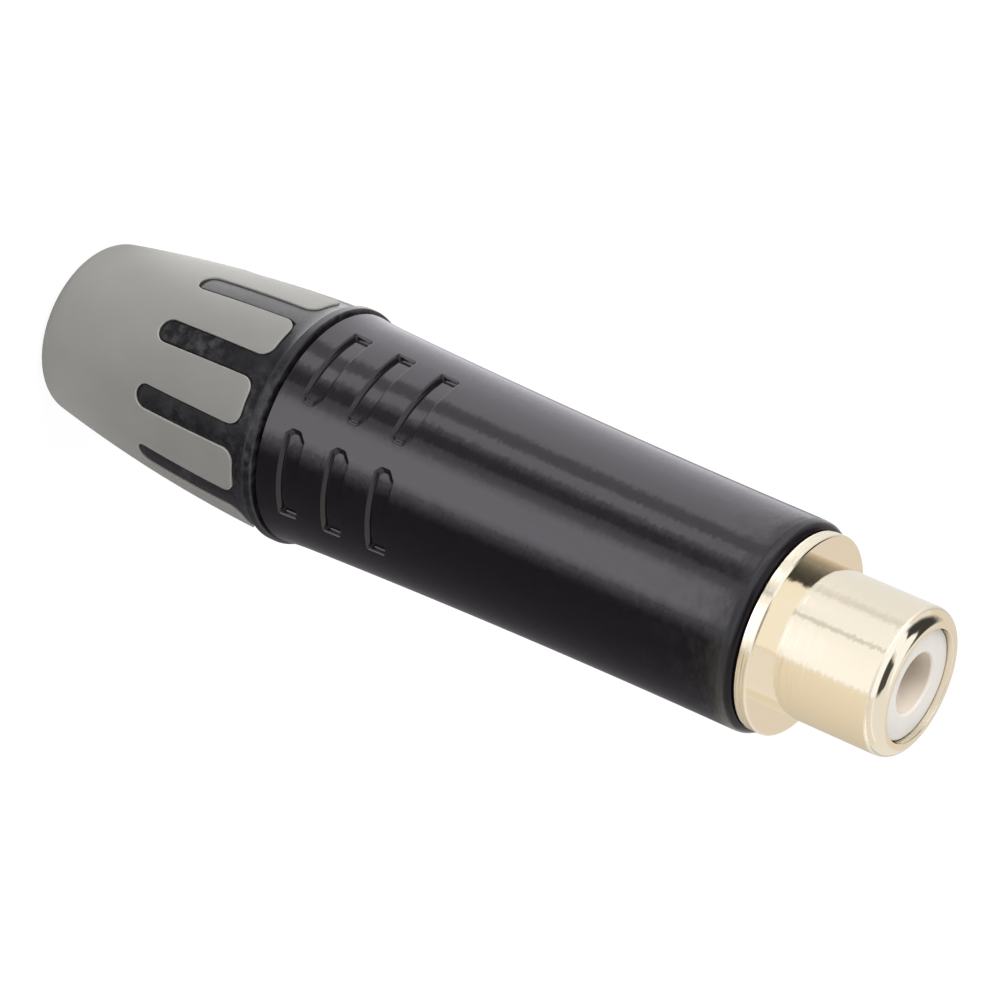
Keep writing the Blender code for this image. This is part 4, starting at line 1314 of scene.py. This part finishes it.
def white_room(scene, level):
    """A room that lights the object evenly, is a white tent to reflections, and white to the camera."""
    world = bpy.data.worlds.new("Studio")
    scene.world = world
    world.use_nodes = True
    tree = world.node_tree
    room = tree.nodes["Background"]
    set_inputs(tree, room, {"Color": (1, 1, 1, 1), "Strength": level})
    white = add_node(tree, "ShaderNodeBackground", {"Color": (1, 1, 1, 1), "Strength": 1.0})
    tent = add_node(tree, "ShaderNodeBackground", {"Color": (1, 0.995, 0.965, 1), "Strength": 0.865})
    ray = add_node(tree, "ShaderNodeLightPath").outputs
    inputs = {0: ray["Is Glossy Ray"], 1: room.outputs[0], 2: tent.outputs[0]}
    lit = add_node(tree, "ShaderNodeMixShader", inputs)
    inputs = {0: ray["Is Camera Ray"], 1: lit.outputs[0], 2: white.outputs[0]}
    shown = add_node(tree, "ShaderNodeMixShader", inputs)
    tree.links.new(shown.outputs[0], tree.nodes["World Output"].inputs[0])


def photo_camera(scene):
    """The photograph's camera, from the model fitted to the object's outline."""
    data = bpy.data.cameras.new("camera")
    data.lens = 153.3
    data.sensor_width = 36
    data.clip_start, data.clip_end = 0.01, 10
    camera = linked("camera", data)
    camera.matrix_world = Matrix(
        (
            (-0.4011, -0.9160, 0.0, -0.00012),
            (0.4378, -0.1917, -0.8784, -0.202004),
            (0.8046, -0.3523, 0.4779, 0.138694),
            (0, 0, 0, 1),
        )
    )
    scene.camera = camera


class PHONO_OT_stage(bpy.types.Operator):
    """Builds the floor, the lights, the cards and the camera"""

    bl_idname = "phono.stage"
    bl_label = "Stage"

    def execute(self, context):
        scene = context.scene
        settings = scene.phono_stage
        mesh = bmesh.new()
        bmesh.ops.create_grid(mesh, x_segments=8, y_segments=8, size=settings.floor_size / 2)
        floor = mesh_object("floor", mesh)
        if floor.data.polygons[0].normal.z < 0:
            floor.data.flip_normals()
        floor.data.materials.append(paper())
        for row in FLOOR_CARDS:
            floor_card(*row)
        for row in WALL_CARDS:
            wall_card(*row)
        area_light("key_light", (-0.30, -0.21, 0.25), 0.30, settings.key_power)
        area_light("fill_light", (0.40, 0.06, 0.16), 0.25, settings.fill_power)
        white_room(scene, settings.sky_level)
        photo_camera(scene)
        scene.view_settings.view_transform = "Standard"
        return {"FINISHED"}


class PHONO_PT_panel(bpy.types.Panel):
    """Lists the pieces in the order they are built"""

    bl_idname = "PHONO_PT_panel"
    bl_label = "Phono socket"
    bl_space_type = "VIEW_3D"
    bl_region_type = "UI"
    bl_category = "Phono socket"

    def draw(self, context):
        for operator in OPERATORS:
            self.layout.operator(operator.bl_idname)


GROUPS = {
    "phono_nut": NutSizes,
    "phono_shell": ShellSizes,
    "phono_socket": SocketSizes,
    "phono_finish": FinishColours,
    "phono_stage": StageSettings,
}
OPERATORS = (
    PHONO_OT_stage,
    PHONO_OT_grip,
    PHONO_OT_nut,
    PHONO_OT_shell,
    PHONO_OT_socket_body,
    PHONO_OT_front_insulator,
    PHONO_OT_centre_contact,
    PHONO_OT_rear_insulator,
    PHONO_OT_earth_tag,
    PHONO_OT_sleeve,
    PHONO_OT_chuck,
)
CLASSES = (*GROUPS.values(), *OPERATORS, PHONO_PT_panel)


def register():
    for made in CLASSES:
        bpy.utils.register_class(made)
    for name, group in GROUPS.items():
        setattr(bpy.types.Scene, name, PointerProperty(type=group))


def unregister():
    for name in GROUPS:
        delattr(bpy.types.Scene, name)
    for made in reversed(CLASSES):
        bpy.utils.unregister_class(made)


def main():
    register()
    for operator in OPERATORS:
        section, name = operator.bl_idname.split(".")
        getattr(getattr(bpy.ops, section), name)()


if __name__ == "__main__":
    main()
